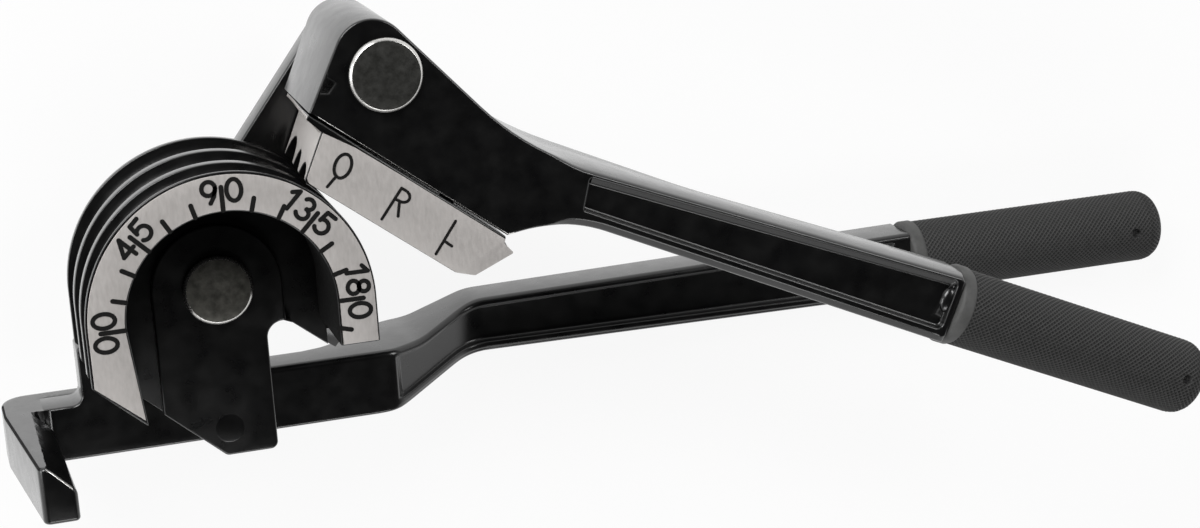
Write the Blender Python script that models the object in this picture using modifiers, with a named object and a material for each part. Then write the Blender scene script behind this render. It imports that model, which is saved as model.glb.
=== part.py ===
"""Three-size lever tube bender with a 180 degree forming wheel, lying flat on its back.

Every length is in metres. The wheel frame has its origin on the wheel's axis in the plane of
the scale plate's face: X runs along the lower handle, Y up to the forming handle, Z towards
the viewer. The handle frame has its origin on the upper pin: x runs along the forming shoe
away from the wheel, y away from the wheel's axis.
"""
import math

import bmesh
import bpy
from mathutils import Vector

MM = 0.001

# Tubes and grooves
SMALL_TUBE = 6.35 * MM
MIDDLE_TUBE = 7.94 * MM
LARGE_TUBE = 9.53 * MM
GROOVE_CLEARANCE = 0.10 * MM
GROOVE_INSET = 0.2 * MM
SHOE_GAP = 0.8 * MM

# Fits
SEAT_GAP = 0.25 * MM
HOLE_GAP = 0.2 * MM
OVERRUN = 2.0 * MM
WELD_DISTANCE = 0.001 * MM

# Forming wheel
WHEEL_RADIUS = 24.0 * MM
EDGE_LAND = 1.4 * MM
INNER_LAND = 2.2 * MM
RING_WIDTH = 6.65 * MM
FLANK_LENGTH = 9.4 * MM
RING_END_DROP = 8.0 * MM
BOSS_DEPTH = 18.2 * MM
BOSS_RADIUS = 11.2 * MM
WEB_DEPTH = 20.0 * MM
LUG_RIGHT = 7.8 * MM
LUG_DROP = 29.9 * MM
LUG_FOOT_LEFT = 1.2 * MM
LUG_CORNER_RADIUS = 1.3 * MM
FLANK_TOE_INSET = 8.4 * MM
FLANK_TOE_DROP = 17.2 * MM
NOTCH_TOP_DROP = 4.4 * MM
NOTCH_RADIUS = 2.8 * MM
SECTOR_CORNER_INSET = 4.0 * MM
SECTOR_CORNER_DROP = 13.4 * MM

# Scale plate
PLATE_THICKNESS = 0.4 * MM
PLATE_MARGIN = 0.4 * MM

# Lower handle, left part with the hook
BAR_BOTTOM_DROP = 31.1 * MM
LEFT_TOP_DROP = 21.2 * MM
BAR_TOP_DROP = 19.4 * MM
BAR_DEPTH = 7.9 * MM
HOOK_BLOCK_DEPTH = 11.3 * MM
HOOK_BLOCK_INSET = 3.0 * MM
HOOK_SLOT_ROOT = 5.2 * MM
HOOK_SLOT_TIP = 4.2 * MM
HOOK_ROOT_WIDTH = 8.2 * MM
HOOK_TIP_WIDTH = 5.9 * MM
HOOK_RAMP_WIDTH = 4.5 * MM
HOOK_RAMP_DROP = 25.9 * MM
HOOK_CORNER_RADIUS = 4.5 * MM
HOOK_EDGE_RADIUS = 0.8 * MM
SHOULDER_RIGHT = 6.5 * MM
SHOULDER_TOP_DROP = 10.8 * MM
SHOULDER_FILLET = 1.8 * MM

# Lower handle, bend and right part
BEND_START = 38.5 * MM
BEND_END = 50.5 * MM
BEND_UNDER_START = 32.3 * MM
BEND_UNDER_END = 48.6 * MM
BEND_RADIUS_TOP = 13.0 * MM
BEND_RADIUS_UNDER = 24.0 * MM
JOG_FRONT_START = 32.4 * MM
JOG_FRONT_END = 49.0 * MM
JOG_BACK_START = 20.0 * MM
JOG_BACK_END = 34.5 * MM
JOG_RADIUS = 11.0 * MM
RIGHT_FRONT_DEPTH = 43.1 * MM
RIGHT_BAR_DEPTH = 9.8 * MM
RIGHT_CENTRE_DROP = 20.5 * MM
RIGHT_HALF_START = 5.1 * MM
RIGHT_HALF_END = 6.2 * MM
LOWER_GRIP_START = 139.0 * MM

# Pockets in the handles
POCKET_DEPTH = 1.3 * MM
POCKET_LIP = 1.3 * MM
POCKET_FLANGE = 3.1 * MM
POCKET_END_MARGIN = 3.0 * MM
POCKET_CORNER = 0.8 * MM
BACK_POCKET_START = 44.0 * MM

# Link and pins
LINK_LENGTH = 46.6 * MM
LINK_HALF_WIDTH = 7.1 * MM
LINK_THICKNESS = 5.8 * MM
PIN_RADIUS = 4.0 * MM
PIN_TAIL = 1.1 * MM
CENTRE_HEAD_RADIUS = 6.0 * MM
CENTRE_HEAD_HEIGHT = 1.2 * MM
UPPER_HEAD_RADIUS = 6.2 * MM
UPPER_HEAD_HEIGHT = 1.0 * MM
HEAD_CHAMFER = 0.35 * MM
PIN_WASHER_RADIUS = 6.8 * MM
PIN_WASHER_THICKNESS = 0.8 * MM
CLIP_RADIUS = 6.2 * MM
CLIP_THICKNESS = 1.0 * MM
CLIP_NECK_RADIUS = 3.2 * MM
CLIP_OPENING = math.radians(70)
THRUST_WASHER_RADIUS = 6.9 * MM
THRUST_WASHER_THICKNESS = 2.6 * MM

# Rivet and dowel that hold the wheel on the lower handle
RIVET_RADIUS = 2.6 * MM
RIVET_X = -0.3 * MM
RIVET_DROP = 25.0 * MM
DOWEL_RADIUS = 2.0 * MM
DOWEL_LENGTH = 12.0 * MM
DOWEL_DROP = 15.5 * MM

# Forming shoe
SHOE_LEFT = 2.6 * MM
SHOE_TOP_LEFT = 7.4 * MM
SHOE_SHOULDER_LEFT = 4.2 * MM
SHOE_SHOULDER_DROP = 1.9 * MM
SHOE_FACE_RIGHT = 28.4 * MM
SHOE_NOSE_X = 31.7 * MM
SHOE_NOSE_RISE = 1.3 * MM
SHOE_TIP_X = 35.1 * MM
SHOE_TIP_DROP = 1.7 * MM
SHOE_TOP_RIGHT = 33.3 * MM
SHOE_EDGE_RADIUS = 0.8 * MM
SHOE_PLATE_MARGIN = 0.2 * MM
SHOE_WIDTH = 30.9 * MM
SHOE_DOWEL_RADIUS = 1.5 * MM
SHOE_DOWEL_FIRST = 5.0 * MM
SHOE_DOWEL_PITCH = 20.0 * MM

# Upper handle
HEAD_FRONT_DEPTH = 1.2 * MM
HEAD_BOTTOM_LEFT = 7.2 * MM
HEAD_CORNER_LEFT = 11.4 * MM
HEAD_CORNER_RISE = 9.1 * MM
HEAD_CORNER_RADIUS = 6.3 * MM
WAIST_X = 27.7 * MM
WAIST_RISE = 2.05 * MM
WAIST_RADIUS = 47.0 * MM
UNDER_START_X = 33.0 * MM
UNDER_CORNER_X = 40.1 * MM
UNDER_CORNER_DROP = 4.35 * MM
UNDER_RADIUS = 26.0 * MM
UPPER_GRIP_X = 112.9 * MM
UPPER_GRIP_RISE = 19.1 * MM
UPPER_GRIP_TILT = math.radians(13.8)
UPPER_END_HALF = 6.6 * MM
UPPER_BAR_DEPTH = 12.0 * MM
HEAD_BACK_X = 34.0 * MM
HEAD_TAPER_END = 60.0 * MM
HEAD_TAPER_RADIUS = 16.0 * MM
UPPER_POCKET_START = 40.0 * MM
UPPER_POCKET_LIP = 1.5 * MM
UPPER_BACK_POCKET_START = 66.0 * MM

# Grips
GRIP_RADIUS = 7.1 * MM
GRIP_END_WALL = 8.3 * MM
GRIP_END_RADIUS = 3.6 * MM
COLLAR_RADIUS = 7.35 * MM
COLLAR_LENGTH = 2.2 * MM
COLLAR_SLOPE = 0.5 * MM
TANG_RADIUS = 4.5 * MM
TANG_LENGTH = 47.0 * MM

# Pose in which the tool is stored: bend angle that the shoe's 0 mark stands at
STORED_BEND = math.radians(128)

# Shares: how far down from the upper pin to the shoe's face its top lies, how much of the shoe's
# height its dowels are long, and how far out on the wheel its own dowel stands
SHOE_TOP_SHARE = 0.56
SHOE_DOWEL_SHARE = 0.667
DOWEL_SHARE = 0.5

# Smoothness, as counts and angles
WHEEL_STEPS = 40
ARC_STEP = math.radians(9)
SHARP_ANGLE = math.radians(30)
ROUND_SIDES = 32
GRIP_SIDES = 32
GRIP_END_STEPS = 6
DOWEL_SIDES = 16
SHOE_DOWEL_COUNT = 2
GROOVE_RESOLUTION = 5

BEND_RADIUS = WHEEL_RADIUS - GROOVE_INSET
RING_INNER_RADIUS = WHEEL_RADIUS - RING_WIDTH
FLANK_TOE_X = WHEEL_RADIUS - FLANK_TOE_INSET
SECTOR_CORNER_X = WHEEL_RADIUS - SECTOR_CORNER_INSET
DOWEL_X = WHEEL_RADIUS * DOWEL_SHARE
HOOK_BLOCK_RIGHT = WHEEL_RADIUS - HOOK_BLOCK_INSET
HOOK_INNER_ROOT = WHEEL_RADIUS + HOOK_SLOT_ROOT
HOOK_INNER_TIP = WHEEL_RADIUS + HOOK_SLOT_TIP
HOOK_OUTER_ROOT = HOOK_INNER_ROOT + HOOK_ROOT_WIDTH
HOOK_OUTER_TIP = HOOK_INNER_TIP + HOOK_TIP_WIDTH
HOOK_RAMP_TOP = HOOK_INNER_TIP + HOOK_RAMP_WIDTH
SMALL_GROOVE = SMALL_TUBE / 2 + GROOVE_CLEARANCE
MIDDLE_GROOVE = MIDDLE_TUBE / 2 + GROOVE_CLEARANCE
LARGE_GROOVE = LARGE_TUBE / 2 + GROOVE_CLEARANCE
SMALL_GROOVE_Z = -(EDGE_LAND + SMALL_GROOVE)
MIDDLE_GROOVE_Z = SMALL_GROOVE_Z - SMALL_GROOVE - INNER_LAND - MIDDLE_GROOVE
LARGE_GROOVE_Z = MIDDLE_GROOVE_Z - MIDDLE_GROOVE - INNER_LAND - LARGE_GROOVE
GROOVES = (
    ("small", SMALL_GROOVE, SMALL_GROOVE_Z),
    ("middle", MIDDLE_GROOVE, MIDDLE_GROOVE_Z),
    ("large", LARGE_GROOVE, LARGE_GROOVE_Z),
)
WHEEL_BACK_Z = LARGE_GROOVE_Z - LARGE_GROOVE - EDGE_LAND
WHEEL_FRONT_Z = -(PLATE_THICKNESS + SEAT_GAP)
BAR_FRONT_Z = WHEEL_BACK_Z - SEAT_GAP
BAR_BACK_Z = BAR_FRONT_Z - BAR_DEPTH
HOOK_BACK_Z = BAR_FRONT_Z - HOOK_BLOCK_DEPTH
RIGHT_FRONT_Z = -RIGHT_FRONT_DEPTH
RIGHT_BACK_Z = RIGHT_FRONT_Z - RIGHT_BAR_DEPTH
RIGHT_CENTRE_Z = (RIGHT_FRONT_Z + RIGHT_BACK_Z) / 2
LINK_FRONT_Z = WHEEL_BACK_Z - SEAT_GAP
LINK_BACK_Z = LINK_FRONT_Z - LINK_THICKNESS
THRUST_BACK_Z = LINK_FRONT_Z + SEAT_GAP
THRUST_FRONT_Z = THRUST_BACK_Z + THRUST_WASHER_THICKNESS
HEAD_BACK_Z = THRUST_FRONT_Z + SEAT_GAP
HEAD_FRONT_Z = -HEAD_FRONT_DEPTH
WASHER_FRONT_Z = LINK_BACK_Z - SEAT_GAP
WASHER_BACK_Z = WASHER_FRONT_Z - PIN_WASHER_THICKNESS
CLIP_FRONT_Z = WASHER_BACK_Z - SEAT_GAP
CLIP_BACK_Z = CLIP_FRONT_Z - CLIP_THICKNESS
NECK_FRONT_Z = CLIP_FRONT_Z + HOLE_GAP
NECK_BACK_Z = CLIP_BACK_Z - HOLE_GAP
PIN_END_Z = NECK_BACK_Z - PIN_TAIL
PIN_HOLE_RADIUS = PIN_RADIUS + HOLE_GAP
SHOE_FACE_Y = -(LINK_LENGTH - WHEEL_RADIUS - SHOE_GAP)
SHOE_TOP_Y = SHOE_FACE_Y * SHOE_TOP_SHARE
SHOE_DOWEL_LENGTH = (SHOE_TOP_Y - SHOE_FACE_Y) * SHOE_DOWEL_SHARE
HEAD_BOTTOM_Y = SHOE_TOP_Y + SEAT_GAP
GRIP_LENGTH = TANG_LENGTH + GRIP_END_WALL
LINK_ANGLE = math.pi - STORED_BEND


def clear_scene():
    for item in list(bpy.data.objects):
        bpy.data.objects.remove(item, do_unlink=True)


def make_collection(name):
    group = bpy.data.collections.new(name)
    bpy.context.scene.collection.children.link(group)
    return group


def make_material(name, colour, roughness, metallic):
    material = bpy.data.materials.new(name)
    material.use_nodes = True
    shader = material.node_tree.nodes["Principled BSDF"]
    shader.inputs["Base Color"].default_value = (*colour, 1)
    shader.inputs["Roughness"].default_value = roughness
    shader.inputs["Metallic"].default_value = metallic
    material.diffuse_color = (*colour, 1)
    return material


def make_empty(name, parent, location, turn=0):
    empty = bpy.data.objects.new(name, None)
    bpy.context.scene.collection.objects.link(empty)
    empty.parent = parent
    empty.location = location
    empty.rotation_euler = (0, 0, turn)
    return empty


def place(item, group, parent):
    group.objects.link(item)
    item.parent = parent
    if group.name == "cutters":
        item.hide_render = True
        item.display_type = "WIRE"
    return item


def arc(centre, radius, start, end, steps):
    """Points on an arc from one angle to another."""
    points = []
    for i in range(steps + 1):
        angle = start + (end - start) * i / steps
        points.append((centre[0] + radius * math.cos(angle), centre[1] + radius * math.sin(angle)))
    return points


def rounded(corners):
    """An outline from (x, y, radius) corners, each with an arc of its radius."""
    points = []
    count = len(corners)
    for i, (x, y, radius) in enumerate(corners):
        here = Vector((x, y))
        if radius == 0:
            points.append((x, y))
            continue
        before = (Vector(corners[i - 1][:2]) - here).normalized()
        after = (Vector(corners[(i + 1) % count][:2]) - here).normalized()
        half = before.angle(after) / 2
        centre = here + (before + after).normalized() * (radius / math.sin(half))
        first = here + before * (radius / math.tan(half)) - centre
        last = here + after * (radius / math.tan(half)) - centre
        start = math.atan2(first.y, first.x)
        sweep = (math.atan2(last.y, last.x) - start + math.pi) % (2 * math.pi) - math.pi
        steps = max(2, round(abs(sweep) / ARC_STEP))
        points += arc(centre, radius, start, start + sweep, steps)
    return points


def mesh_from_curve(guide):
    """The curve's filled solid as a mesh with its caps welded; the curve is removed."""
    bpy.context.scene.collection.objects.link(guide)
    bpy.context.view_layer.update()
    evaluated = guide.evaluated_get(bpy.context.evaluated_depsgraph_get())
    mesh = bpy.data.meshes.new_from_object(evaluated)
    shape = bmesh.new()
    shape.from_mesh(mesh)
    bmesh.ops.remove_doubles(shape, verts=shape.verts, dist=WELD_DISTANCE)
    bmesh.ops.recalc_face_normals(shape, faces=shape.faces)
    shape.to_mesh(mesh)
    shape.free()
    item = bpy.data.objects.new("solid", mesh)
    item.matrix_world = guide.matrix_world
    bpy.data.objects.remove(guide, do_unlink=True)
    return item


def plate(name, outline, low, high, group, parent, upright=False):
    """A flat outline with thickness: across Z, or across Y where it stands upright."""
    curve = bpy.data.curves.new(name, "CURVE")
    curve.dimensions = "2D"
    curve.fill_mode = "BOTH"
    curve.extrude = (high - low) / 2
    spline = curve.splines.new("POLY")
    spline.points.add(len(outline) - 1)
    for point, (x, y) in zip(spline.points, outline):
        point.co = (x, y, 0, 1)
    spline.use_cyclic_u = True
    guide = bpy.data.objects.new(name, curve)
    middle = (low + high) / 2
    if upright:
        guide.location = (0, middle, 0)
        guide.rotation_euler = (math.pi / 2, 0, 0)
    else:
        guide.location = (0, 0, middle)
    item = mesh_from_curve(guide)
    item.name = name
    return place(item, group, parent)


def bar_along(name, points, radius, group, parent):
    """A round bar along a path, with flat ends."""
    curve = bpy.data.curves.new(name, "CURVE")
    curve.dimensions = "3D"
    curve.bevel_depth = radius
    curve.bevel_resolution = GROOVE_RESOLUTION
    curve.use_fill_caps = True
    spline = curve.splines.new("POLY")
    spline.points.add(len(points) - 1)
    for point, place_of in zip(spline.points, points):
        point.co = (*place_of, 1)
    item = mesh_from_curve(bpy.data.objects.new(name, curve))
    item.name = name
    return place(item, group, parent)


def turned(name, profile, location, turn, sides, group, parent, closed=False):
    """A profile of (radius, height) pairs, run down its outer side, turned about its height."""
    mesh = bpy.data.meshes.new(name)
    vertices = [(radius, 0, height) for radius, height in profile]
    edges = [(i, i + 1) for i in range(len(profile) - 1)]
    if closed:
        edges.append((len(profile) - 1, 0))
    mesh.from_pydata(vertices, edges, [])
    item = bpy.data.objects.new(name, mesh)
    item.location = location
    item.rotation_euler = turn
    screw = item.modifiers.new("turn", "SCREW")
    screw.steps = sides
    screw.render_steps = sides
    screw.use_merge_vertices = True
    screw.merge_threshold = WELD_DISTANCE
    return place(item, group, parent)


def rod(name, radius, low, high, x, y, group, parent):
    """A plain round rod along Z."""
    profile = [(0, high), (radius, high), (radius, low), (0, low)]
    return turned(name, profile, (x, y, 0), (0, 0, 0), ROUND_SIDES, group, parent)


def ring(name, inner, outer, low, high, group, parent):
    profile = [(inner, high), (outer, high), (outer, low), (inner, low)]
    return turned(name, profile, (0, 0, 0), (0, 0, 0), ROUND_SIDES, group, parent, closed=True)


def combine(item, other, operation="DIFFERENCE", solver="EXACT"):
    change = item.modifiers.new(other.name, "BOOLEAN")
    change.operation = operation
    change.object = other
    change.solver = solver


def finish(item, material):
    item.data.materials.clear()
    item.data.materials.append(material)


def ring_outline(margin):
    """The scale ring's outline, drawn in by a margin from the wheel's own edges."""
    outer = WHEEL_RADIUS - margin
    inner = RING_INNER_RADIUS + margin
    end = -RING_END_DROP + margin
    slope = (LUG_DROP - FLANK_LENGTH) / (WHEEL_RADIUS - LUG_FOOT_LEFT)
    toe_x = -FLANK_TOE_X - margin
    toe_y = -FLANK_LENGTH - slope * (toe_x + WHEEL_RADIUS) + 2 * margin
    points = arc((0, 0), outer, 0, math.pi, WHEEL_STEPS)
    points.append((-outer, -FLANK_LENGTH + margin))
    points.append((toe_x, toe_y))
    points += arc((0, 0), inner, math.pi, 0, WHEEL_STEPS)
    points.append((inner, end))
    points.append((outer, end))
    return points


def make_wheel(parts, cutters, tool, material):
    """The grooved forming wheel with its web, pin boss and the lug that sits on the handle."""
    outline = arc((0, 0), WHEEL_RADIUS, 0, math.pi, WHEEL_STEPS)
    outline += rounded([
        (-WHEEL_RADIUS, -FLANK_LENGTH, 0),
        (-LUG_FOOT_LEFT, -LUG_DROP, LUG_CORNER_RADIUS),
        (LUG_RIGHT, -LUG_DROP, LUG_CORNER_RADIUS),
        (LUG_RIGHT, -NOTCH_TOP_DROP, NOTCH_RADIUS),
        (SECTOR_CORNER_X, -SECTOR_CORNER_DROP, 0),
        (WHEEL_RADIUS, -RING_END_DROP, 0),
    ])
    wheel = plate("forming_wheel", outline, WHEEL_BACK_Z, WHEEL_FRONT_Z, parts, tool)

    below = -LUG_DROP - OVERRUN
    right = WHEEL_RADIUS + OVERRUN
    recess_outline = arc((0, 0), RING_INNER_RADIUS, 0, math.pi, WHEEL_STEPS)
    recess_outline += [
        (-FLANK_TOE_X, -FLANK_TOE_DROP),
        (-FLANK_TOE_X, below),
        (right, below),
        (right, -RING_END_DROP),
        (RING_INNER_RADIUS, -RING_END_DROP),
    ]
    recess = plate("wheel_recess", recess_outline, -WEB_DEPTH, OVERRUN, cutters, tool)
    boss_outline = arc((0, 0), BOSS_RADIUS, 0, math.pi, WHEEL_STEPS)
    boss_outline += [(-BOSS_RADIUS, below - OVERRUN), (BOSS_RADIUS, below - OVERRUN)]
    boss = plate("boss_left_standing", boss_outline, -WEB_DEPTH - OVERRUN, -BOSS_DEPTH, cutters, tool)
    combine(recess, boss)
    combine(wheel, recess, solver="MANIFOLD")

    for name, radius, z in GROOVES:
        foot = below - OVERRUN
        path = [(BEND_RADIUS, foot, z)]
        bends = arc((0, 0), BEND_RADIUS, 0, math.pi, WHEEL_STEPS)
        path += [(x, y, z) for x, y in bends]
        path.append((-BEND_RADIUS, foot, z))
        groove = bar_along(name + "_groove", path, radius, cutters, tool)
        combine(wheel, groove, solver="MANIFOLD")

    bore = rod("wheel_pin_hole", PIN_HOLE_RADIUS, WHEEL_BACK_Z - OVERRUN, 0, 0, 0, cutters, tool)
    combine(wheel, bore, solver="MANIFOLD")
    finish(wheel, material)
    return wheel


def make_scale_plate(parts, tool, material):
    """The thin scale plate on the face of the ring, with its ends shaped like the ring's."""
    item = plate("scale_plate", ring_outline(PLATE_MARGIN), -PLATE_THICKNESS, 0, parts, tool)
    finish(item, material)


def right_edge(x, side):
    """Height of the right part's top (side 1) or underside (side -1) at x."""
    end_x = LOWER_GRIP_START - SEAT_GAP
    share = (x - BEND_END) / (end_x - BEND_END)
    return -RIGHT_CENTRE_DROP + side * (RIGHT_HALF_START + share * (RIGHT_HALF_END - RIGHT_HALF_START))


def make_lower_handle(parts, cutters, tool, material):
    """Bar with the tube hook at its left end and a double bend to the part that is held."""
    end_x = LOWER_GRIP_START - SEAT_GAP
    hook_left = -HOOK_OUTER_ROOT
    wheel_side = -WHEEL_RADIUS + SEAT_GAP
    side_view = rounded([
        (hook_left, -BAR_BOTTOM_DROP, HOOK_EDGE_RADIUS * 2),
        (BEND_UNDER_START, -BAR_BOTTOM_DROP, BEND_RADIUS_UNDER),
        (BEND_UNDER_END, right_edge(BEND_UNDER_END, -1), BEND_RADIUS_UNDER),
        (end_x, right_edge(end_x, -1), 0),
        (end_x, right_edge(end_x, 1), 0),
        (BEND_END, right_edge(BEND_END, 1), BEND_RADIUS_TOP),
        (BEND_START, -BAR_TOP_DROP, BEND_RADIUS_TOP),
        (SHOULDER_RIGHT, -BAR_TOP_DROP, HOOK_EDGE_RADIUS),
        (SHOULDER_RIGHT, -SHOULDER_TOP_DROP, HOOK_EDGE_RADIUS),
        (wheel_side, -SHOULDER_TOP_DROP, HOOK_EDGE_RADIUS),
        (wheel_side, -LEFT_TOP_DROP, SHOULDER_FILLET),
        (hook_left, -LEFT_TOP_DROP, HOOK_EDGE_RADIUS),
    ])
    handle = plate("lower_handle", side_view, RIGHT_BACK_Z - OVERRUN, OVERRUN, parts, tool)
    plan_view = rounded([
        (-HOOK_OUTER_TIP, 0, HOOK_EDGE_RADIUS),
        (hook_left, BAR_FRONT_Z, HOOK_CORNER_RADIUS),
        (hook_left, HOOK_BACK_Z, HOOK_CORNER_RADIUS),
        (-HOOK_BLOCK_RIGHT, HOOK_BACK_Z, HOOK_EDGE_RADIUS),
        (-HOOK_BLOCK_RIGHT, BAR_BACK_Z, HOOK_EDGE_RADIUS),
        (JOG_BACK_START, BAR_BACK_Z, JOG_RADIUS),
        (JOG_BACK_END, RIGHT_BACK_Z, JOG_RADIUS),
        (end_x + OVERRUN, RIGHT_BACK_Z, 0),
        (end_x + OVERRUN, RIGHT_FRONT_Z, 0),
        (JOG_FRONT_END, RIGHT_FRONT_Z, JOG_RADIUS),
        (JOG_FRONT_START, BAR_FRONT_Z, HOOK_CORNER_RADIUS),
        (-HOOK_INNER_ROOT, BAR_FRONT_Z, HOOK_EDGE_RADIUS),
        (-HOOK_INNER_TIP, 0, HOOK_EDGE_RADIUS),
    ])
    low = -BAR_BOTTOM_DROP - OVERRUN
    plan = plate("handle_plan", plan_view, low, OVERRUN, cutters, tool, upright=True)
    combine(handle, plan, "INTERSECT")

    ramp = [
        (-HOOK_RAMP_TOP, -LEFT_TOP_DROP + OVERRUN),
        (-HOOK_RAMP_TOP, -LEFT_TOP_DROP),
        (-HOOK_INNER_TIP, -HOOK_RAMP_DROP),
        (-HOOK_INNER_TIP + OVERRUN, -HOOK_RAMP_DROP),
        (-HOOK_INNER_TIP + OVERRUN, -LEFT_TOP_DROP + OVERRUN),
    ]
    ramp_low = BAR_FRONT_Z + HOOK_EDGE_RADIUS / 2
    combine(handle, plate("hook_ramp", ramp, ramp_low, OVERRUN, cutters, tool))

    pocket_end = end_x - POCKET_END_MARGIN
    front_pocket = rounded([
        (JOG_FRONT_START, -BAR_BOTTOM_DROP + POCKET_FLANGE, POCKET_CORNER),
        (BEND_UNDER_END, right_edge(BEND_UNDER_END, -1) + POCKET_FLANGE, BEND_RADIUS_TOP),
        (pocket_end, right_edge(pocket_end, -1) + POCKET_FLANGE, POCKET_CORNER),
        (pocket_end, right_edge(pocket_end, 1) - POCKET_LIP, POCKET_CORNER),
        (BEND_END, right_edge(BEND_END, 1) - POCKET_LIP, BEND_RADIUS_TOP),
        (BEND_START, -BAR_TOP_DROP - POCKET_LIP, BEND_RADIUS_TOP - POCKET_LIP),
        (JOG_FRONT_START, -BAR_TOP_DROP - POCKET_LIP, POCKET_CORNER),
    ])
    pocket = plate("lower_pocket", front_pocket, RIGHT_BACK_Z, BAR_FRONT_Z + OVERRUN, cutters, tool)
    floor_line = rounded([
        (JOG_FRONT_START - OVERRUN, BAR_FRONT_Z - POCKET_DEPTH, 0),
        (JOG_FRONT_START, BAR_FRONT_Z - POCKET_DEPTH, HOOK_CORNER_RADIUS),
        (JOG_FRONT_END, RIGHT_FRONT_Z - POCKET_DEPTH, JOG_RADIUS),
        (end_x, RIGHT_FRONT_Z - POCKET_DEPTH, 0),
        (end_x, BAR_FRONT_Z + 2 * OVERRUN, 0),
        (JOG_FRONT_START - OVERRUN, BAR_FRONT_Z + 2 * OVERRUN, 0),
    ])
    combine(pocket, plate("pocket_floor", floor_line, low, 0, cutters, tool, upright=True), "INTERSECT")
    combine(handle, pocket)

    back_pocket = rounded([
        (BACK_POCKET_START, right_edge(BACK_POCKET_START, -1) + POCKET_FLANGE, POCKET_CORNER),
        (pocket_end, right_edge(pocket_end, -1) + POCKET_FLANGE, POCKET_CORNER),
        (pocket_end, right_edge(pocket_end, 1) - POCKET_LIP, POCKET_CORNER),
        (BACK_POCKET_START, -BAR_TOP_DROP - POCKET_LIP, POCKET_CORNER),
    ])
    floor = RIGHT_BACK_Z + POCKET_DEPTH
    combine(handle, plate("lower_back_pocket", back_pocket, RIGHT_BACK_Z - OVERRUN, floor, cutters, tool))

    tang_start = end_x - 2 * OVERRUN
    tang_end = LOWER_GRIP_START + TANG_LENGTH
    profile = [(0, tang_end), (TANG_RADIUS, tang_end), (TANG_RADIUS, tang_start), (0, tang_start)]
    tang = turned("lower_tang", profile, (0, -RIGHT_CENTRE_DROP, RIGHT_CENTRE_Z),
                  (0, math.pi / 2, 0), ROUND_SIDES, cutters, tool)
    combine(handle, tang, "UNION")
    finish(handle, material)
    return handle


def make_grip(name, location, turn, parts, parent, material):
    """Rubber sleeve, closed at its outer end, with a raised collar where it starts."""
    bore = TANG_RADIUS + HOLE_GAP
    corner = (GRIP_RADIUS - GRIP_END_RADIUS, GRIP_LENGTH - GRIP_END_RADIUS)
    profile = [(0, GRIP_LENGTH)]
    profile += arc(corner, GRIP_END_RADIUS, math.pi / 2, 0, GRIP_END_STEPS)
    profile += [
        (GRIP_RADIUS, COLLAR_LENGTH + COLLAR_SLOPE),
        (COLLAR_RADIUS, COLLAR_LENGTH),
        (COLLAR_RADIUS, COLLAR_SLOPE),
        (GRIP_RADIUS, 0),
        (bore, 0),
        (bore, TANG_LENGTH + SEAT_GAP),
        (0, TANG_LENGTH + SEAT_GAP),
    ]
    item = turned(name, profile, location, turn, GRIP_SIDES, parts, parent)
    finish(item, material)


def make_link(parts, cutters, pivot, material):
    """Straight link plate that carries the upper pin round the wheel's axis."""
    outline = arc((LINK_LENGTH, 0), LINK_HALF_WIDTH, -math.pi / 2, math.pi / 2, ROUND_SIDES // 2)
    outline += arc((0, 0), LINK_HALF_WIDTH, math.pi / 2, 3 * math.pi / 2, ROUND_SIDES // 2)
    link = plate("link_plate", outline, LINK_BACK_Z, LINK_FRONT_Z, parts, pivot)
    for name, x in (("link_centre_hole", 0), ("link_upper_hole", LINK_LENGTH)):
        low = LINK_BACK_Z - OVERRUN
        high = LINK_FRONT_Z + OVERRUN
        combine(link, rod(name, PIN_HOLE_RADIUS, low, high, x, 0, cutters, pivot))
    finish(link, material)


def make_pin(name, head_radius, head_top, head_height, parts, parent, material):
    """Headed pin with a chamfered head and a neck for its spring clip."""
    head_low = head_top - head_height
    profile = [
        (0, head_top),
        (head_radius - HEAD_CHAMFER, head_top),
        (head_radius, head_top - HEAD_CHAMFER),
        (head_radius, head_low),
        (PIN_RADIUS, head_low),
        (PIN_RADIUS, NECK_FRONT_Z),
        (CLIP_NECK_RADIUS, NECK_FRONT_Z),
        (CLIP_NECK_RADIUS, NECK_BACK_Z),
        (PIN_RADIUS, NECK_BACK_Z),
        (PIN_RADIUS, PIN_END_Z + HEAD_CHAMFER),
        (PIN_RADIUS - HEAD_CHAMFER, PIN_END_Z),
        (0, PIN_END_Z),
    ]
    item = turned(name, profile, (0, 0, 0), (0, 0, 0), ROUND_SIDES, parts, parent)
    finish(item, material)


def make_clip(name, parts, parent, material):
    """Open spring clip that snaps into the pin's neck."""
    opening = CLIP_OPENING / 2
    inner = CLIP_NECK_RADIUS + HOLE_GAP
    outline = arc((0, 0), CLIP_RADIUS, opening, 2 * math.pi - opening, ROUND_SIDES)
    outline += arc((0, 0), inner, 2 * math.pi - opening, opening, ROUND_SIDES)
    item = plate(name, outline, CLIP_BACK_Z, CLIP_FRONT_Z, parts, parent)
    finish(item, material)


def make_washer(name, outer, low, high, parts, parent, material):
    item = ring(name, PIN_HOLE_RADIUS, outer, low, high, parts, parent)
    finish(item, material)


def grip_axis_point(along, across):
    """A point in the handle frame from its distances along and across the upper grip's axis."""
    cosine = math.cos(UPPER_GRIP_TILT)
    sine = math.sin(UPPER_GRIP_TILT)
    x = UPPER_GRIP_X + along * cosine - across * sine
    y = UPPER_GRIP_RISE + along * sine + across * cosine
    return x, y


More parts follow.
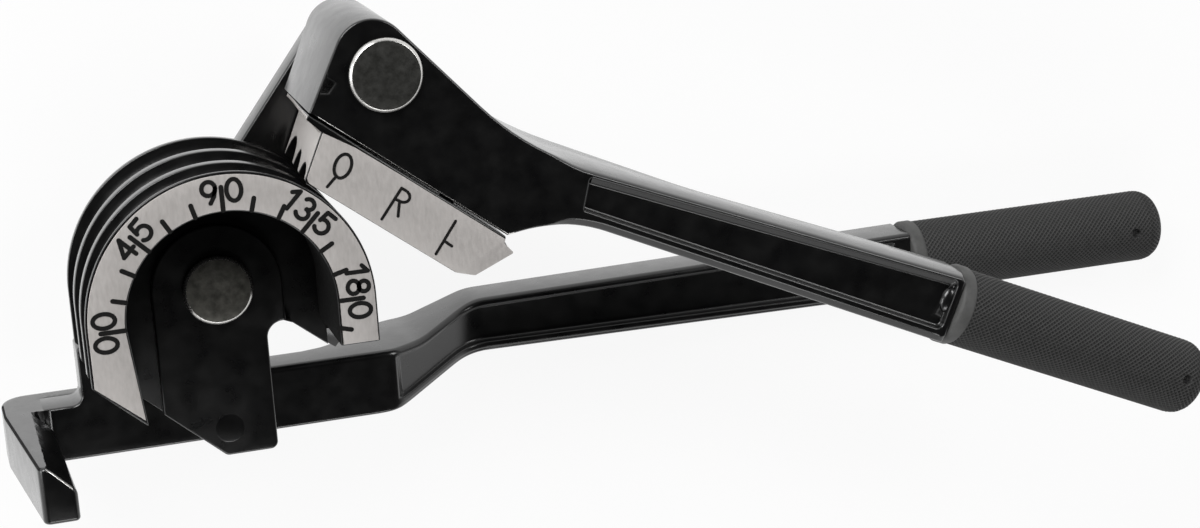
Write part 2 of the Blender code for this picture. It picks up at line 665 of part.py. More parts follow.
def make_upper_handle(parts, cutters, pivot, material):
    """Deep head over the shoe, drawn in to the slimmer bar that the upper grip is pushed on."""
    top_end = grip_axis_point(-SEAT_GAP, UPPER_END_HALF)
    low_end = grip_axis_point(-SEAT_GAP, -UPPER_END_HALF)
    side_view = rounded([
        (-HEAD_BOTTOM_LEFT, HEAD_BOTTOM_Y, 0),
        (UNDER_START_X, HEAD_BOTTOM_Y, 0),
        (UNDER_CORNER_X, -UNDER_CORNER_DROP, UNDER_RADIUS),
        (*low_end, 0),
        (*top_end, 0),
        (WAIST_X, WAIST_RISE, WAIST_RADIUS),
        (-HEAD_CORNER_LEFT, HEAD_CORNER_RISE, HEAD_CORNER_RADIUS),
    ])
    handle = plate("upper_handle", side_view, HEAD_BACK_Z, HEAD_FRONT_Z, parts, pivot)
    bar_back = HEAD_FRONT_Z - UPPER_BAR_DEPTH
    behind = HEAD_BACK_Z - OVERRUN
    far_x = UPPER_GRIP_X + GRIP_LENGTH
    taper = rounded([
        (HEAD_BACK_X, behind, 0),
        (HEAD_BACK_X, HEAD_BACK_Z, 0),
        (HEAD_TAPER_END, bar_back, HEAD_TAPER_RADIUS),
        (far_x, bar_back, 0),
        (far_x, behind, 0),
    ])
    low = HEAD_BOTTOM_Y - OVERRUN
    high = UPPER_GRIP_RISE + LINK_LENGTH
    combine(handle, plate("head_taper", taper, low, high, cutters, pivot, upright=True))
    pin_hole = rod("upper_pin_hole", PIN_HOLE_RADIUS, behind, OVERRUN, 0, 0, cutters, pivot)
    combine(handle, pin_hole)

    def pocket_outline(start):
        end = -POCKET_END_MARGIN
        top_slope = (top_end[1] - WAIST_RISE) / (top_end[0] - WAIST_X)
        low_slope = (low_end[1] + UNDER_CORNER_DROP) / (low_end[0] - UNDER_CORNER_X)
        first_top = WAIST_RISE + top_slope * (start - WAIST_X) - UPPER_POCKET_LIP
        first_low = -UNDER_CORNER_DROP + low_slope * (start - UNDER_CORNER_X) + POCKET_FLANGE
        last_top = grip_axis_point(end, UPPER_END_HALF - UPPER_POCKET_LIP)
        last_low = grip_axis_point(end, -UPPER_END_HALF + POCKET_FLANGE)
        return rounded([
            (start + POCKET_LIP, first_low, POCKET_CORNER),
            (*last_low, POCKET_FLANGE),
            (*last_top, POCKET_FLANGE),
            (start, first_top, POCKET_CORNER),
        ])

    front_low = HEAD_FRONT_Z - POCKET_DEPTH
    front = plate("upper_pocket", pocket_outline(UPPER_POCKET_START), front_low, OVERRUN, cutters, pivot)
    combine(handle, front)
    back_high = bar_back + POCKET_DEPTH
    back_outline = pocket_outline(UPPER_BACK_POCKET_START)
    combine(handle, plate("upper_back_pocket", back_outline, behind, back_high, cutters, pivot))

    tang_low = -2 * OVERRUN
    profile = [(0, TANG_LENGTH), (TANG_RADIUS, TANG_LENGTH), (TANG_RADIUS, tang_low), (0, tang_low)]
    axis_z = HEAD_FRONT_Z - UPPER_BAR_DEPTH / 2
    start = (UPPER_GRIP_X, UPPER_GRIP_RISE, axis_z)
    turn = (0, math.pi / 2, UPPER_GRIP_TILT)
    combine(handle, turned("upper_tang", profile, start, turn, ROUND_SIDES, cutters, pivot), "UNION")
    finish(handle, material)
    return handle, start, turn


def shoe_outline(margin):
    """The shoe's outline seen from the front, drawn in by a margin."""
    nose_y = SHOE_FACE_Y + SHOE_NOSE_RISE
    return rounded([
        (-SHOE_LEFT + margin, SHOE_FACE_Y + margin, SHOE_EDGE_RADIUS),
        (SHOE_FACE_RIGHT, SHOE_FACE_Y + margin, SHOE_EDGE_RADIUS),
        (SHOE_NOSE_X - margin, nose_y + margin, SHOE_EDGE_RADIUS),
        (SHOE_TIP_X - margin, SHOE_TOP_Y - SHOE_TIP_DROP, SHOE_EDGE_RADIUS / 2),
        (SHOE_TOP_RIGHT - margin, SHOE_TOP_Y - margin, 0),
        (-SHOE_TOP_LEFT + 3 * margin, SHOE_TOP_Y - margin, 0),
        (-SHOE_SHOULDER_LEFT + margin, SHOE_TOP_Y - SHOE_SHOULDER_DROP, SHOE_EDGE_RADIUS),
    ])


def make_shoe(parts, cutters, pivot, material, face_material):
    """Forming shoe with three straight half grooves that face the wheel, and its face plate."""
    shoe = plate("forming_shoe", shoe_outline(0), -SHOE_WIDTH, WHEEL_FRONT_Z, parts, pivot)
    groove_y = BEND_RADIUS - LINK_LENGTH
    for name, radius, z in GROOVES:
        path = [(-SHOE_TOP_LEFT - OVERRUN, groove_y, z), (SHOE_TIP_X + OVERRUN, groove_y, z)]
        combine(shoe, bar_along(name + "_shoe_groove", path, radius, cutters, pivot))
    finish(shoe, material)
    face = plate("shoe_plate", shoe_outline(SHOE_PLATE_MARGIN), -PLATE_THICKNESS, 0, parts, pivot)
    finish(face, face_material)
    return shoe


def make_shoe_dowels(parts, cutters, pivot, shoe, handle, material):
    """Dowels that key the shoe into the underside of the head."""
    z = -SHOE_WIDTH / 2
    low = HEAD_BOTTOM_Y - SHOE_DOWEL_LENGTH / 2
    high = low + SHOE_DOWEL_LENGTH
    turn = (-math.pi / 2, 0, 0)
    hole_radius = SHOE_DOWEL_RADIUS + HOLE_GAP
    hole_top = high + SEAT_GAP
    hole_end = low - SEAT_GAP
    hole_profile = [(0, hole_top), (hole_radius, hole_top), (hole_radius, hole_end), (0, hole_end)]
    profile = [(0, high), (SHOE_DOWEL_RADIUS, high), (SHOE_DOWEL_RADIUS, low), (0, low)]
    for number in range(SHOE_DOWEL_COUNT):
        place_of = (SHOE_DOWEL_FIRST + number * SHOE_DOWEL_PITCH, 0, z)
        hole = turned(f"shoe_dowel_hole_{number + 1}", hole_profile, place_of, turn,
                      DOWEL_SIDES, cutters, pivot)
        combine(shoe, hole)
        combine(handle, hole)
        dowel = turned(f"shoe_dowel_{number + 1}", profile, place_of, turn, DOWEL_SIDES, parts, pivot)
        finish(dowel, material)


def make_wheel_fixings(parts, cutters, tool, wheel, handle, steel):
    """Rivet through the lug and a blind dowel behind the flank, both into the lower handle."""
    hole_radius = RIVET_RADIUS + HOLE_GAP
    back = BAR_BACK_Z - OVERRUN
    hole = rod("rivet_hole", hole_radius, back, 0, RIVET_X, -RIVET_DROP, cutters, tool)
    combine(wheel, hole, solver="MANIFOLD")
    combine(handle, hole)
    rivet = rod("wheel_rivet", RIVET_RADIUS, BAR_BACK_Z, -BOSS_DEPTH, RIVET_X, -RIVET_DROP, parts, tool)
    finish(rivet, steel)

    low = BAR_BACK_Z
    high = low + DOWEL_LENGTH
    hole = rod("dowel_hole", DOWEL_RADIUS + HOLE_GAP, back, high + SEAT_GAP, -DOWEL_X, -DOWEL_DROP,
               cutters, tool)
    combine(wheel, hole, solver="MANIFOLD")
    combine(handle, hole)
    dowel = rod("wheel_dowel", DOWEL_RADIUS, low, high, -DOWEL_X, -DOWEL_DROP, parts, tool)
    finish(dowel, steel)


def rest_on_floor(parts, tool):
    """Moves the tool so that the middle of its bounding box's underside is the origin."""
    bpy.context.view_layer.update()
    graph = bpy.context.evaluated_depsgraph_get()
    points = []
    for item in parts.objects:
        evaluated = item.evaluated_get(graph)
        points += [item.matrix_world @ vertex.co for vertex in evaluated.data.vertices]
    lows = [min(point[axis] for point in points) for axis in range(3)]
    highs = [max(point[axis] for point in points) for axis in range(3)]
    tool.location = (-(lows[0] + highs[0]) / 2, -(lows[1] + highs[1]) / 2, -lows[2])
    bpy.context.view_layer.update()


def main():
    clear_scene()
    parts = make_collection("tube_bender")
    cutters = make_collection("cutters")
    black = make_material("black_paint", (0.012, 0.012, 0.013), 0.28, 0.0)
    silver = make_material("brushed_aluminium", (0.62, 0.61, 0.60), 0.34, 1.0)
    steel = make_material("zinc_plated_steel", (0.36, 0.36, 0.35), 0.32, 1.0)
    spring = make_material("spring_steel", (0.10, 0.10, 0.11), 0.4, 1.0)
    rubber = make_material("black_rubber", (0.03, 0.03, 0.032), 0.75, 0.0)

    tool = make_empty("tool", None, (0, 0, 0))
    link_pivot = make_empty("link_pivot", tool, (0, 0, 0), LINK_ANGLE)
    handle_pivot = make_empty("handle_pivot", link_pivot, (LINK_LENGTH, 0, 0), -math.pi / 2)

    lower = make_lower_handle(parts, cutters, tool, black)
    wheel = make_wheel(parts, cutters, tool, black)
    make_scale_plate(parts, tool, silver)
    make_wheel_fixings(parts, cutters, tool, wheel, lower, steel)
    centre_top = -BOSS_DEPTH + SEAT_GAP + CENTRE_HEAD_HEIGHT
    make_pin("centre_pin", CENTRE_HEAD_RADIUS, centre_top, CENTRE_HEAD_HEIGHT, parts, tool, steel)
    make_washer("centre_washer", PIN_WASHER_RADIUS, WASHER_BACK_Z, WASHER_FRONT_Z, parts, tool, steel)
    make_clip("centre_clip", parts, tool, spring)
    lower_start = (LOWER_GRIP_START, -RIGHT_CENTRE_DROP, RIGHT_CENTRE_Z)
    make_grip("lower_grip", lower_start, (0, math.pi / 2, 0), parts, tool, rubber)

    make_link(parts, cutters, link_pivot, black)
    upper_top = HEAD_FRONT_Z + SEAT_GAP + UPPER_HEAD_HEIGHT
    make_pin("upper_pin", UPPER_HEAD_RADIUS, upper_top, UPPER_HEAD_HEIGHT, parts, handle_pivot, steel)
    make_washer("upper_washer", PIN_WASHER_RADIUS, WASHER_BACK_Z, WASHER_FRONT_Z, parts, handle_pivot, steel)
    make_clip("upper_clip", parts, handle_pivot, spring)
    make_washer("thrust_washer", THRUST_WASHER_RADIUS, THRUST_BACK_Z, THRUST_FRONT_Z, parts,
                handle_pivot, steel)

    upper, grip_start, grip_turn = make_upper_handle(parts, cutters, handle_pivot, black)
    shoe = make_shoe(parts, cutters, handle_pivot, black, silver)
    make_shoe_dowels(parts, cutters, handle_pivot, shoe, upper, steel)
    make_grip("upper_grip", grip_start, grip_turn, parts, handle_pivot, rubber)

    rest_on_floor(parts, tool)
    for item in parts.objects:
        item.data.shade_smooth()
        item.data.set_sharp_from_angle(angle=SHARP_ANGLE)
    print("wheel axis", [round(value, 6) for value in tool.location])
    print("upper pin", [round(value, 6) for value in handle_pivot.matrix_world.translation])


main()
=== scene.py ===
import math

import bmesh
import bpy
import numpy as np
from mathutils import Matrix, Vector
from mathutils.geometry import delaunay_2d_cdt


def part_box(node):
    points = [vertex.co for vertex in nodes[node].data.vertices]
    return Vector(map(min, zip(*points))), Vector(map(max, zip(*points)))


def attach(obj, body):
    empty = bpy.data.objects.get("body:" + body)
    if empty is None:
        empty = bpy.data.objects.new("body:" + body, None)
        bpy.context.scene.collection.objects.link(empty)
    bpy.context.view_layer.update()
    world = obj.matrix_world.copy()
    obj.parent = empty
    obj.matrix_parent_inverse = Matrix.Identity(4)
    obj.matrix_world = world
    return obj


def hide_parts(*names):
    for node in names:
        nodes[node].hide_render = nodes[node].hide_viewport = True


# Dressed model of the lever tube bender: every length below is in millimetres in one of two frames.
# The wheel frame has its origin on the wheel's axis in the plane of the scale, with X along the lower
# handle, Y up the picture and Z towards the viewer. The handle frame has its origin on the upper pin,
# with x along the forming shoe and y away from the wheel.
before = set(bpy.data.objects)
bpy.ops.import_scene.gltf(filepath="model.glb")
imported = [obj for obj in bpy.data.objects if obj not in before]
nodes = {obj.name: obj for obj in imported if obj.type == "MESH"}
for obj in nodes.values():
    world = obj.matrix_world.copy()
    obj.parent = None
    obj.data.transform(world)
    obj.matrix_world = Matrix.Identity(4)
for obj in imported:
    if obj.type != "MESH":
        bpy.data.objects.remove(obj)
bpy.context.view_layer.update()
mm = 0.001


def middleOf(node):
    low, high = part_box(node)
    return np.array([(low.x + high.x) / 2, (low.y + high.y) / 2])


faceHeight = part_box("scale_plate")[1].z
wheelAxis = np.array([*middleOf("centre_pin"), faceHeight])
upperPin = np.array([*middleOf("upper_pin"), faceHeight])
handleUp = (upperPin - wheelAxis) / np.linalg.norm(upperPin - wheelAxis)
handleAlong = np.array([handleUp[1], -handleUp[0], 0])
gripTilt = math.radians(13.8)


# A point in the row frame is the wheel's axis plus the piece's own millimetres.
def inWheel(points):
    return wheelAxis + np.asarray(points, float) * mm


# A point in the row frame is the upper pin plus x along the shoe, y away from the wheel, and z.
def inHandle(points):
    p = np.asarray(points, float) * mm
    flat = p[..., :1] * handleAlong + p[..., 1:2] * handleUp
    flat[..., 2] += p[..., 2]
    return upperPin + flat


# Shape tools

# Points at equal angles, in degrees, on a circle or ellipse round (cx, cy).
def arcPoints(cx, cy, radius, start, end, count, radiusY=None):
    angle = np.radians(np.linspace(start, end, count))
    tall = radius if radiusY is None else radiusY
    return np.stack([cx + radius * np.cos(angle), cy + tall * np.sin(angle)], axis=1)


# Each (x, y, radius) corner becomes an arc of its radius that touches both of its edges.
def roundedCorners(corners, step=6.0, closed=True):
    made = []
    count = len(corners)
    for i, (x, y, radius) in enumerate(corners):
        here = np.array([x, y], float)
        atEnd = not closed and i in (0, count - 1)
        if radius == 0 or atEnd:
            made.append(here[None])
            continue
        before = np.array(corners[i - 1][:2], float) - here
        after = np.array(corners[(i + 1) % count][:2], float) - here
        before /= np.linalg.norm(before)
        after /= np.linalg.norm(after)
        half = math.acos(max(-1.0, min(1.0, float(before @ after)))) / 2
        middle = (before + after) / np.linalg.norm(before + after)
        centre = here + middle * radius / math.sin(half)
        first = here + before * radius / math.tan(half) - centre
        last = here + after * radius / math.tan(half) - centre
        start = math.atan2(first[1], first[0])
        sweep = (math.atan2(last[1], last[0]) - start + math.pi) % (2 * math.pi) - math.pi
        steps = max(2, round(abs(math.degrees(sweep)) / step))
        made.append(arcPoints(*centre, radius, math.degrees(start), math.degrees(start + sweep), steps + 1))
    return np.concatenate(made)


# The same outline, run anticlockwise.
def turnedLeft(loop):
    ahead = np.roll(loop, -1, axis=0)
    area = (loop[:, 0] * ahead[:, 1] - ahead[:, 0] * loop[:, 1]).sum()
    return loop if area > 0 else loop[::-1]


# Each point moves inwards along the mean of its two edges' normals, so that both edges keep the distance.
def drawnIn(loop, distance):
    ahead = np.roll(loop, -1, axis=0) - loop
    ahead = ahead / np.maximum(np.linalg.norm(ahead, axis=1, keepdims=True), 1e-9)
    behind = np.roll(ahead, 1, axis=0)
    normal = np.stack([-ahead[:, 1] - behind[:, 1], ahead[:, 0] + behind[:, 0]], axis=1)
    size = np.maximum((normal ** 2).sum(axis=1, keepdims=True) / 2, 0.35)
    return loop + normal / size * distance


# The outline with extra points, so that no edge is longer than the length.
def spaced(loop, length):
    ahead = np.roll(loop, -1, axis=0)
    made = []
    for here, there in zip(loop, ahead):
        count = max(1, math.ceil(float(np.linalg.norm(there - here)) / length))
        made.append(here + (there - here) * (np.arange(count) / count)[:, None])
    return np.concatenate(made)


# True where a ray to the right of a point crosses the outline an odd number of times.
def liesInside(points, loop):
    x, y = points[:, :1], points[:, 1:2]
    x0, y0 = loop[:, 0], loop[:, 1]
    x1, y1 = np.roll(x0, -1), np.roll(y0, -1)
    rise = np.where(y1 == y0, 1e-12, y1 - y0)
    crosses = ((y0 > y) != (y1 > y)) & (x < x0 + (y - y0) / rise * (x1 - x0))
    return crosses.sum(axis=1) % 2 == 1


# Triangles over an outline, round its holes, with a grid of points inside it every step.
def filled(loop, holes=(), step=None, extra=None):
    loops = [loop, *holes]
    points = np.concatenate(loops)
    edges = []
    start = 0
    for ring in loops:
        edges += [(start + i, start + (i + 1) % len(ring)) for i in range(len(ring))]
        start += len(ring)
    inner = [] if extra is None else [np.asarray(extra, float)]
    if step:
        low, high = loop.min(axis=0), loop.max(axis=0)
        xs, ys = np.meshgrid(np.arange(low[0] + step / 2, high[0], step),
                             np.arange(low[1] + step / 2, high[1], step))
        inner.append(np.stack([xs.ravel(), ys.ravel()], axis=1))
    if inner:
        grid = np.concatenate(inner)
        keep = liesInside(grid, loop)
        for hole in holes:
            keep &= ~liesInside(grid, hole)
        gap = np.linalg.norm(grid[:, None] - points[None], axis=2).min(axis=1)
        grid = grid[keep & (gap > 0.15 * (step or 1.0))]
        points = np.concatenate([points, grid])
    made = delaunay_2d_cdt([Vector(p) for p in points.tolist()], edges, [], 0, 1e-7)
    flat = np.array([tuple(v) for v in made[0]])
    faces = np.array([f for f in made[2]])
    middle = flat[faces].mean(axis=1)
    keep = liesInside(middle, loop)
    for hole in holes:
        keep &= ~liesInside(middle, hole)
    return flat, faces[keep]


# Quads between neighbouring rows of a grid; a closed grid joins its last column to its first.
def gridFaces(rows, columns, closed=True):
    index = np.arange(rows * columns).reshape(rows, columns)
    right = np.roll(index, -1, axis=1)
    quads = np.stack([index[:-1], right[:-1], right[1:], index[1:]], axis=-1)
    if not closed:
        quads = quads[:, :-1]
    return quads.reshape(-1, 4)


# Puts (points, faces) shells into one mesh, welds their seams and turns their faces outwards. Shells of
# three parts, (points, faces, marks), give each face the finish of its mark.
def makePiece(name, shells, place, finishes, body, replaced=(), sharp=34, relief=None):
    vertices, faces, marks, start = [], [], [], 0
    for points, polygons, *marked in shells:
        points = np.asarray(points, float).reshape(-1, 3)
        vertices.append(place(points))
        faces += (np.asarray(polygons) + start).tolist()
        marks += np.asarray(marked[0] if marked else np.zeros(len(polygons))).astype(int).tolist()
        start += len(points)
    mesh = bpy.data.meshes.new(name)
    mesh.from_pydata(np.concatenate(vertices).tolist(), [], faces)
    mesh.polygons.foreach_set("material_index", marks)
    if relief is not None:
        mesh.attributes.new("relief", "FLOAT", "POINT").data.foreach_set("value", np.ravel(relief))
    work = bmesh.new()
    work.from_mesh(mesh)
    bmesh.ops.remove_doubles(work, verts=work.verts, dist=0.0015 * mm)
    bmesh.ops.dissolve_degenerate(work, edges=work.edges, dist=0.0005 * mm)
    bmesh.ops.recalc_face_normals(work, faces=work.faces)
    openEdges = sum(1 for edge in work.edges if len(edge.link_faces) != 2)
    work.to_mesh(mesh)
    work.free()
    mesh.shade_smooth()
    mesh.set_sharp_from_angle(angle=math.radians(sharp))
    for finish in finishes:
        mesh.materials.append(finish)
    piece = bpy.data.objects.new(name, mesh)
    bpy.context.scene.collection.objects.link(piece)
    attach(piece, body)
    if replaced:
        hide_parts(*replaced)
    print("  piece", name, len(mesh.polygons), "faces", openEdges, "open edges")
    return piece


def level(height, flat):
    return height(flat[:, 0], flat[:, 1]) if callable(height) else np.full(len(flat), float(height))


# Rows of (inset, drop) from a side up to a face, on a quarter circle.
def quarterRim(radius, turns):
    angles = [math.pi / 2 * i / turns for i in range(turns + 1)]
    return [(radius * (1 - math.cos(a)), radius * (1 - math.sin(a))) for a in angles]


# An outline carried from its low face to its high face: near each face it is drawn in on a quarter
# circle, or on the rows of inset and drop that rim gives, and each pocket goes down from the high face on
# a rounded lip, a leaning wall and a fillet. The function bare gives marks for the faces of the rim.
def slabShell(outline, low, high, rim, lowRim=None, pockets=(), step=None, turns=4, extra=None, bare=None):
    outline = turnedLeft(outline)
    lowRim = rim if lowRim is None else lowRim
    upper = rim(outline) if callable(rim) else quarterRim(rim, turns)
    shells, rings = [], []
    for inset, drop in quarterRim(lowRim, turns)[::-1]:
        flat = drawnIn(outline, inset)
        rings.append(np.column_stack([flat, level(low, flat) + drop]))
    for inset, drop in upper:
        flat = drawnIn(outline, inset)
        rings.append(np.column_stack([flat, level(high, flat) - drop]))
    marks = np.zeros((len(rings) - 1, len(outline)), int)
    if bare:
        marks[turns + 1:] = bare(outline, len(upper) - 1)
    shells.append((np.stack(rings), gridFaces(len(rings), len(outline)), marks.ravel()))
    openings = []
    for pocket in pockets:
        edge = turnedLeft(pocket["outline"])
        lip, depth, fillet = pocket["lip"], pocket["depth"], pocket["fillet"]
        lean = pocket["lean"](edge) if callable(pocket["lean"]) else pocket["lean"]
        rows = []
        for inset, drop in quarterRim(lip, turns)[::-1]:
            flat = drawnIn(edge, -inset)
            rows.append(np.column_stack([flat, level(high, flat) - drop]))
        for inset, drop in quarterRim(fillet, turns):
            flat = drawnIn(edge, lean + inset)
            rows.append(np.column_stack([flat, level(high, flat) - depth + drop]))
        shells.append((np.stack(rows), gridFaces(len(rows), len(edge))))
        openings.append(rows[0][:, :2])
        flat, faces = filled(rows[-1][:, :2], step=step)
        shells.append((np.column_stack([flat, level(high, flat) - depth]), faces))
    flat, faces = filled(rings[-1][:, :2], openings, step=step, extra=extra)
    shells.append((np.column_stack([flat, level(high, flat)]), faces))
    flat, faces = filled(rings[0][:, :2], step=step, extra=extra)
    shells.append((np.column_stack([flat, level(low, flat)]), faces))
    return shells


# The outward normal at each point of an anticlockwise outline.
def facing(outline):
    along = np.roll(outline, -1, axis=0) - np.roll(outline, 1, axis=0)
    along = along / np.maximum(np.linalg.norm(along, axis=1, keepdims=True), 1e-9)
    return np.stack([along[:, 1], -along[:, 0]], axis=1)


def soft(value):
    t = np.clip(value, 0, 1)
    return t * t * (3 - 2 * t)


# (radius, height) pairs turned about the line through the centre along Z; both ends lie on that line.
def latheShell(profile, centre, sides=72):
    angle = np.radians(np.arange(sides) * 360 / sides)
    profile = np.asarray(profile, float)
    x = centre[0] + profile[:, :1] * np.cos(angle)
    y = centre[1] + profile[:, :1] * np.sin(angle)
    z = np.repeat(profile[:, 1:], sides, axis=1)
    return np.stack([x, y, z], axis=-1), gridFaces(len(profile), sides)


# Camera and light
print("camera and light")
look = {
    "eye": (-0.0509331, 0.1097652, 0.3934536),
    "right": (0.95431511, -0.06024402, 0.29266589),
    "up": (0.13153451, 0.96415664, -0.23043579),
    "back": (-0.26829338, 0.25840402, 0.92803342),
    "lens": 74.5915,
}
light = {"horizon": 1.0, "overhead": 0.01, "soft": 0.85, "floor": 0.93, "shown": 0.9, "mirrored": 0.72,
         "key": 6.0, "fill": 2.4, "side": 1.8, "edge": 2.6}

camera = bpy.data.objects.new("camera", bpy.data.cameras.new("camera"))
bpy.context.scene.collection.objects.link(camera)
camera.data.lens = look["lens"]
camera.data.sensor_width = 36
camera.data.clip_start = 0.01
turn = Matrix((look["right"], look["up"], look["back"])).transposed().to_4x4()
camera.matrix_world = Matrix.Translation(wheelAxis + np.array(look["eye"])) @ turn
bpy.context.scene.camera = camera
scene = bpy.context.scene
scene.view_settings.view_transform = "Standard"


def areaLamp(name, place, aim, size, power):
    lamp = bpy.data.lights.new(name, "AREA")
    lamp.shape = "RECTANGLE"
    lamp.size, lamp.size_y = size
    lamp.energy = power
    item = bpy.data.objects.new(name, lamp)
    scene.collection.objects.link(item)
    item.location = place
    item.rotation_euler = (Vector(aim) - Vector(place)).to_track_quat("-Z", "Y").to_euler()
    return item


areaLamp("key lamp", (-0.45, 0.62, 0.62), (0, 0, 0.03), (0.55, 0.4), light["key"])
areaLamp("fill lamp", (-0.10, -0.75, 0.75), (0, 0, 0.03), (0.6, 0.3), light["fill"])
areaLamp("edge lamp", (0.62, 0.36, 0.80), (0, 0, 0.03), (0.5, 0.22), light["edge"])
areaLamp("side lamp", (-0.85, 0.05, 0.35), (-0.05, 0, 0.03), (0.4, 0.3), light["side"])

# The studio is white round the horizon and dark overhead, as a room with pale walls is; what the
# camera itself sees past the floor is white
world = bpy.data.worlds.new("studio")
scene.world = world
world.use_nodes = True
tree = world.node_tree
tree.nodes.clear()
output = tree.nodes.new("ShaderNodeOutputWorld")
path = tree.nodes.new("ShaderNodeLightPath")
way = tree.nodes.new("ShaderNodeTexCoord")
split = tree.nodes.new("ShaderNodeSeparateXYZ")
fall = tree.nodes.new("ShaderNodeMapRange")
fall.interpolation_type = "SMOOTHSTEP"
fall.inputs["From Min"].default_value = 0.25
fall.inputs["From Max"].default_value = 0.70
fall.inputs["To Min"].default_value = light["horizon"]
fall.inputs["To Max"].default_value = light["overhead"]
plain = tree.nodes.new("ShaderNodeBackground")
white = tree.nodes.new("ShaderNodeBackground")
white.inputs["Color"].default_value = (1, 1, 1, 1)
white.inputs["Strength"].default_value = 1.0
mix = tree.nodes.new("ShaderNodeMixShader")
tree.links.new(way.outputs["Generated"], split.inputs[0])
tree.links.new(split.outputs["Z"], fall.inputs["Value"])
tree.links.new(fall.outputs["Result"], plain.inputs["Color"])
plain.inputs["Strength"].default_value = light["soft"]
tree.links.new(path.outputs["Is Camera Ray"], mix.inputs[0])
tree.links.new(plain.outputs[0], mix.inputs[1])
tree.links.new(white.outputs[0], mix.inputs[2])
tree.links.new(mix.outputs[0], output.inputs[0])

# Materials
print("materials")


def newMaterial(name):
    material = bpy.data.materials.new(name)
    material.use_nodes = True
    return material, material.node_tree, material.node_tree.nodes["Principled BSDF"]


# Noise on Object coordinates, in features per metre, stretched where a grain runs one way.
def noiseNode(tree, scale, detail, rough=0.5, stretch=None, turn=0.0):
    coordinates = tree.nodes.new("ShaderNodeTexCoord")
    mapping = tree.nodes.new("ShaderNodeMapping")
    mapping.inputs["Rotation"].default_value = (0, 0, turn)
    if stretch:
        mapping.inputs["Scale"].default_value = stretch
    noise = tree.nodes.new("ShaderNodeTexNoise")
    noise.inputs["Scale"].default_value = scale
    noise.inputs["Detail"].default_value = detail
    noise.inputs["Roughness"].default_value = rough
    tree.links.new(coordinates.outputs["Object"], mapping.inputs["Vector"])
    tree.links.new(mapping.outputs["Vector"], noise.inputs["Vector"])
    return noise


# A colour ramp whose (position, colour) stops are read from the list.
def rampNode(tree, source, stops):
    ramp = tree.nodes.new("ShaderNodeValToRGB")
    while len(ramp.color_ramp.elements) < len(stops):
        ramp.color_ramp.elements.new(0.5)
    for element, (position, colour) in zip(ramp.color_ramp.elements, stops):
        element.position = position
        element.color = (*colour, 1)
    tree.links.new(source, ramp.inputs["Fac"])
    return ramp


def rangeNode(tree, source, low, high, fromLow=0.3, fromHigh=0.7):
    change = tree.nodes.new("ShaderNodeMapRange")
    change.inputs["From Min"].default_value = fromLow
    change.inputs["From Max"].default_value = fromHigh
    change.inputs["To Min"].default_value = low
    change.inputs["To Max"].default_value = high
    tree.links.new(source, change.inputs["Value"])
    return change


def bumpFrom(tree, source, shader, distance, strength):
    bump = tree.nodes.new("ShaderNodeBump")
    bump.inputs["Distance"].default_value = distance
    bump.inputs["Strength"].default_value = strength
    tree.links.new(source, bump.inputs["Height"])
    tree.links.new(bump.outputs["Normal"], shader.inputs["Normal"])
    return bump


def grey(value):
    return (value, value, value)


# Black stoved paint: slight flow marks, tiny dust pips, a gloss that varies a little.
def blackPaint():
    material, tree, shader = newMaterial("black stoved paint")
    flow = noiseNode(tree, 260, 3)
    colour = rampNode(tree, flow.outputs["Fac"], [(0.3, (0.0018, 0.0018, 0.0020)), (0.7, (0.0034, 0.0034, 0.0034))])
    tree.links.new(colour.outputs["Color"], shader.inputs["Base Color"])
    gloss = rangeNode(tree, flow.outputs["Fac"], 0.26, 0.36)
    tree.links.new(gloss.outputs["Result"], shader.inputs["Roughness"])
    skin = noiseNode(tree, 1300, 4, 0.6)
    bumpFrom(tree, skin.outputs["Fac"], shader, 0.00005, 0.3)
    shader.inputs["Specular IOR Level"].default_value = 0.4
    shader.inputs["Coat Weight"].default_value = 0.7
    shader.inputs["Coat Roughness"].default_value = 0.14
    shader.inputs["Coat IOR"].default_value = 1.55
    return material


# The same paint where it was left rough.
def mattPaint():
    material, tree, shader = newMaterial("matt black paint")
    pits = noiseNode(tree, 900, 4)
    colour = rampNode(tree, pits.outputs["Fac"], [(0.3, (0.0015, 0.0015, 0.0016)), (0.7, (0.0035, 0.0035, 0.0034))])
    tree.links.new(colour.outputs["Color"], shader.inputs["Base Color"])
    gloss = rangeNode(tree, pits.outputs["Fac"], 0.7, 0.85)
    tree.links.new(gloss.outputs["Result"], shader.inputs["Roughness"])
    shader.inputs["Specular IOR Level"].default_value = 0.2
    return material


# Silver faces, matt, with a close grain that runs one way and faint clouds.
def satinAluminium():
    material, tree, shader = newMaterial("satin silver")
    grain = noiseNode(tree, 1100, 4, 0.65, stretch=(1.7, 0.5, 1.0), turn=0.3)
    colour = rampNode(tree, grain.outputs["Fac"], [(0.25, (0.430, 0.408, 0.392)), (0.75, (0.520, 0.495, 0.478))])
    tree.links.new(colour.outputs["Color"], shader.inputs["Base Color"])
    shader.inputs["Metallic"].default_value = 0.3
    gloss = rangeNode(tree, grain.outputs["Fac"], 0.42, 0.56)
    tree.links.new(gloss.outputs["Result"], shader.inputs["Roughness"])
    bumpFrom(tree, grain.outputs["Fac"], shader, 0.00004, 0.4)
    return material


# Dull plated steel with cloudy patches.
def platedSteel(name, dark, light):
    material, tree, shader = newMaterial(name)
    cloud = noiseNode(tree, 650, 5, 0.65)
    colour = rampNode(tree, cloud.outputs["Fac"], [(0.3, dark), (0.7, light)])
    tree.links.new(colour.outputs["Color"], shader.inputs["Base Color"])
    shader.inputs["Metallic"].default_value = 0.6
    gloss = rangeNode(tree, cloud.outputs["Fac"], 0.34, 0.5)
    tree.links.new(gloss.outputs["Result"], shader.inputs["Roughness"])
    bumpFrom(tree, cloud.outputs["Fac"], shader, 0.00008, 0.5)
    return material


